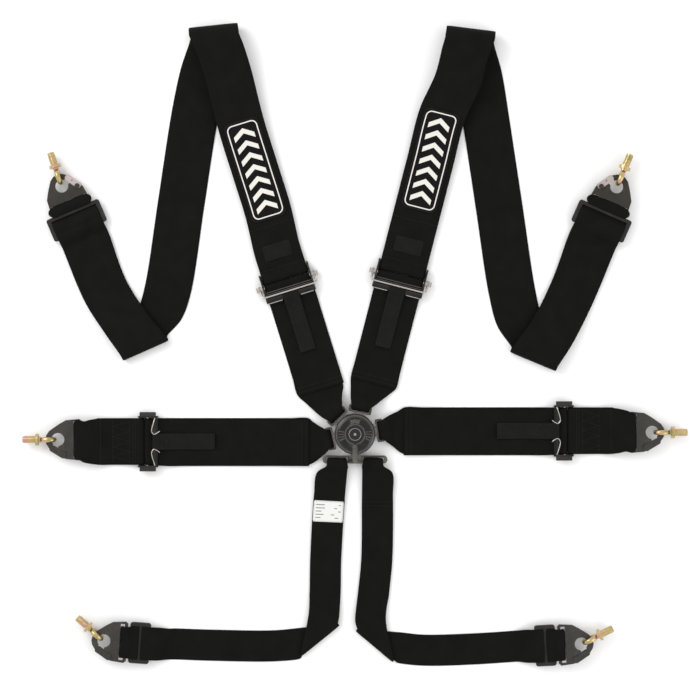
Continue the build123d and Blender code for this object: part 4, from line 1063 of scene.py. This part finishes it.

# threads on the eye bolts, and a dark disc of painted shade for the small hole in each gate
THREAD_PITCH = 1.27 * MM
for name, made in list(frame["nodes"].items()):
    if name.startswith("eye_bolt_"):
        arm = name[len("eye_bolt_"):]
        mount = next(m for m in frame["record"]["mounts"] if m["name"] == f"bolt_shank_{arm}")
        middle, axis = Vector(mount["pos_m"]), Vector(mount["axis"]).normalized()
        across = axis.cross(Vector((0, 0, 1))).normalized()
        radius, half = mount["dims"]["r_mm"] * MM, mount["dims"]["length_mm"] * MM / 2
        turns = int(2 * half / THREAD_PITCH) - 1
        helix = []
        for k in range(turns * 20 + 1):
            angle = 2 * math.pi * k / 20
            place = middle + axis * (-half + THREAD_PITCH * (0.7 + k / 20))
            place += (across * math.cos(angle) + Vector((0, 0, 1)) * math.sin(angle)) * (radius - 0.05 * MM)
            helix.append(tuple(place))
        ride_on(tube(f"thread_{arm}", helix, 0.42 * MM, ZINC, sides=6, smooth_path=False),
                f"eye_bolt_{arm}")
    if name.startswith("gate_"):
        arm = name[len("gate_"):]
        low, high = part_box(name)
        px, py, _ = place_of(f"gate_open_{arm}")
        cx, cy = (low[0] + high[0]) / 2, (low[1] + high[1]) / 2
        hx, hy = px + (cx - px) * 1.25, py + (cy - py) * 1.25
        # painted shade: a dark disc laid on the gate's top stands in for the small hole
        dot = [(hx + 1.1 * MM * cosd(a), hy + 1.1 * MM * sind(a)) for a in range(0, 360, 24)]
        ride_on(slab(f"gate_hole_{arm}", dot, high[2] - 0.1 * MM, high[2] + 0.06 * MM, HOLE_SHADE),
                f"gate_{arm}")

# motif on the badge: a plain raised ring round a small dot
BADGE_RING_R = 9.5 * MM
BADGE_DOT_R = 2.2 * MM
badge_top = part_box("knob_badge")[1][2]
ring_path = [(*ahead(0, 0, a, BADGE_RING_R), badge_top + 0.05 * MM) for a in range(0, 366, 6)]
ride_on(tube("badge_ring", ring_path, 0.45 * MM, BADGE_METAL, sides=8, smooth_path=False), "release_knob")
dot = [ahead(0, 0, a, BADGE_DOT_R) for a in range(0, 360, 12)]
ride_on(slab("badge_dot", dot, badge_top - 0.1 * MM, badge_top + 0.2 * MM, BADGE_METAL), "release_knob")

# ------------------------------------------------------------------ hardware finishes
FINISHES = (
    ("buckle_base", SHELL_BLACK), ("buckle_housing", SHELL_BLACK), ("release_knob", KNOB_BLACK),
    ("knob_badge", BADGE_BLACK), ("tongue_", TONGUE_STEEL), ("crotch_plate", TONGUE_STEEL),
    ("adjuster_shoulder", BLACK_STEEL), ("adjuster_lap", BLACK_STEEL), ("load_bar_", BRIGHT_STEEL),
    ("wire_bail_", BRIGHT_STEEL), ("slide_", BLACK_STEEL), ("hook_shoulder", HOOK_STEEL),
    ("gate_shoulder", GATE_STEEL), ("hook_", BLACK_STEEL), ("gate_", BLACK_STEEL),
    ("eye_bolt_", ZINC), ("cam_ring", BRIGHT_STEEL), ("latch_", BRIGHT_STEEL), ("spindle", BRIGHT_STEEL),
    ("housing_screws", BRIGHT_STEEL),
)
for name, made in frame["nodes"].items():
    for start, material in FINISHES:
        if name.startswith(start):
            made.data.materials.clear()
            made.data.materials.append(material)
            break

# ------------------------------------------------------------------ camera, floor and light
CAMERA_AT = (-0.008, 0.1344)
VIEW_WIDTH = 1.12
CAMERA_HIGH = 3.2
camera_data = bpy.data.cameras.new("camera")
camera_data.sensor_width = 36.0
camera_data.lens = 36.0 * (CAMERA_HIGH - 0.015) / VIEW_WIDTH
camera = bpy.data.objects.new("camera", camera_data)
camera.location = (*CAMERA_AT, CAMERA_HIGH)
bpy.context.scene.collection.objects.link(camera)
bpy.context.scene.camera = camera

floor = mesh_piece("floor", [(-4, -4, 0), (4, -4, 0), (4, 4, 0), (-4, 4, 0)], [(0, 1, 2, 3)],
                   worn_material("pale_floor", (0.9, 0.9, 0.9), (0.88, 0.88, 0.88), 0.7, 0.0, 0.0, 20.0,
                                 0.0))


def soft_light(name, place, size, power):
    data = bpy.data.lights.new(name, "AREA")
    data.shape = "SQUARE"
    data.size = size
    data.energy = power
    lamp = bpy.data.objects.new(name, data)
    lamp.location = place
    lamp.rotation_euler = (-Vector(place)).to_track_quat("-Z", "Y").to_euler()
    bpy.context.scene.collection.objects.link(lamp)


soft_light("key", (-1.9, 1.5, 1.7), 1.6, 34.0)
soft_light("side", (2.1, -0.9, 1.4), 1.4, 14.0)
world = bpy.data.worlds.new("studio")
world.use_nodes = True
world.node_tree.nodes["Background"].inputs["Color"].default_value = (1, 1, 1, 1)
world.node_tree.nodes["Background"].inputs["Strength"].default_value = 1.0
bpy.context.scene.world = world
bpy.context.scene.view_settings.view_transform = "Standard"
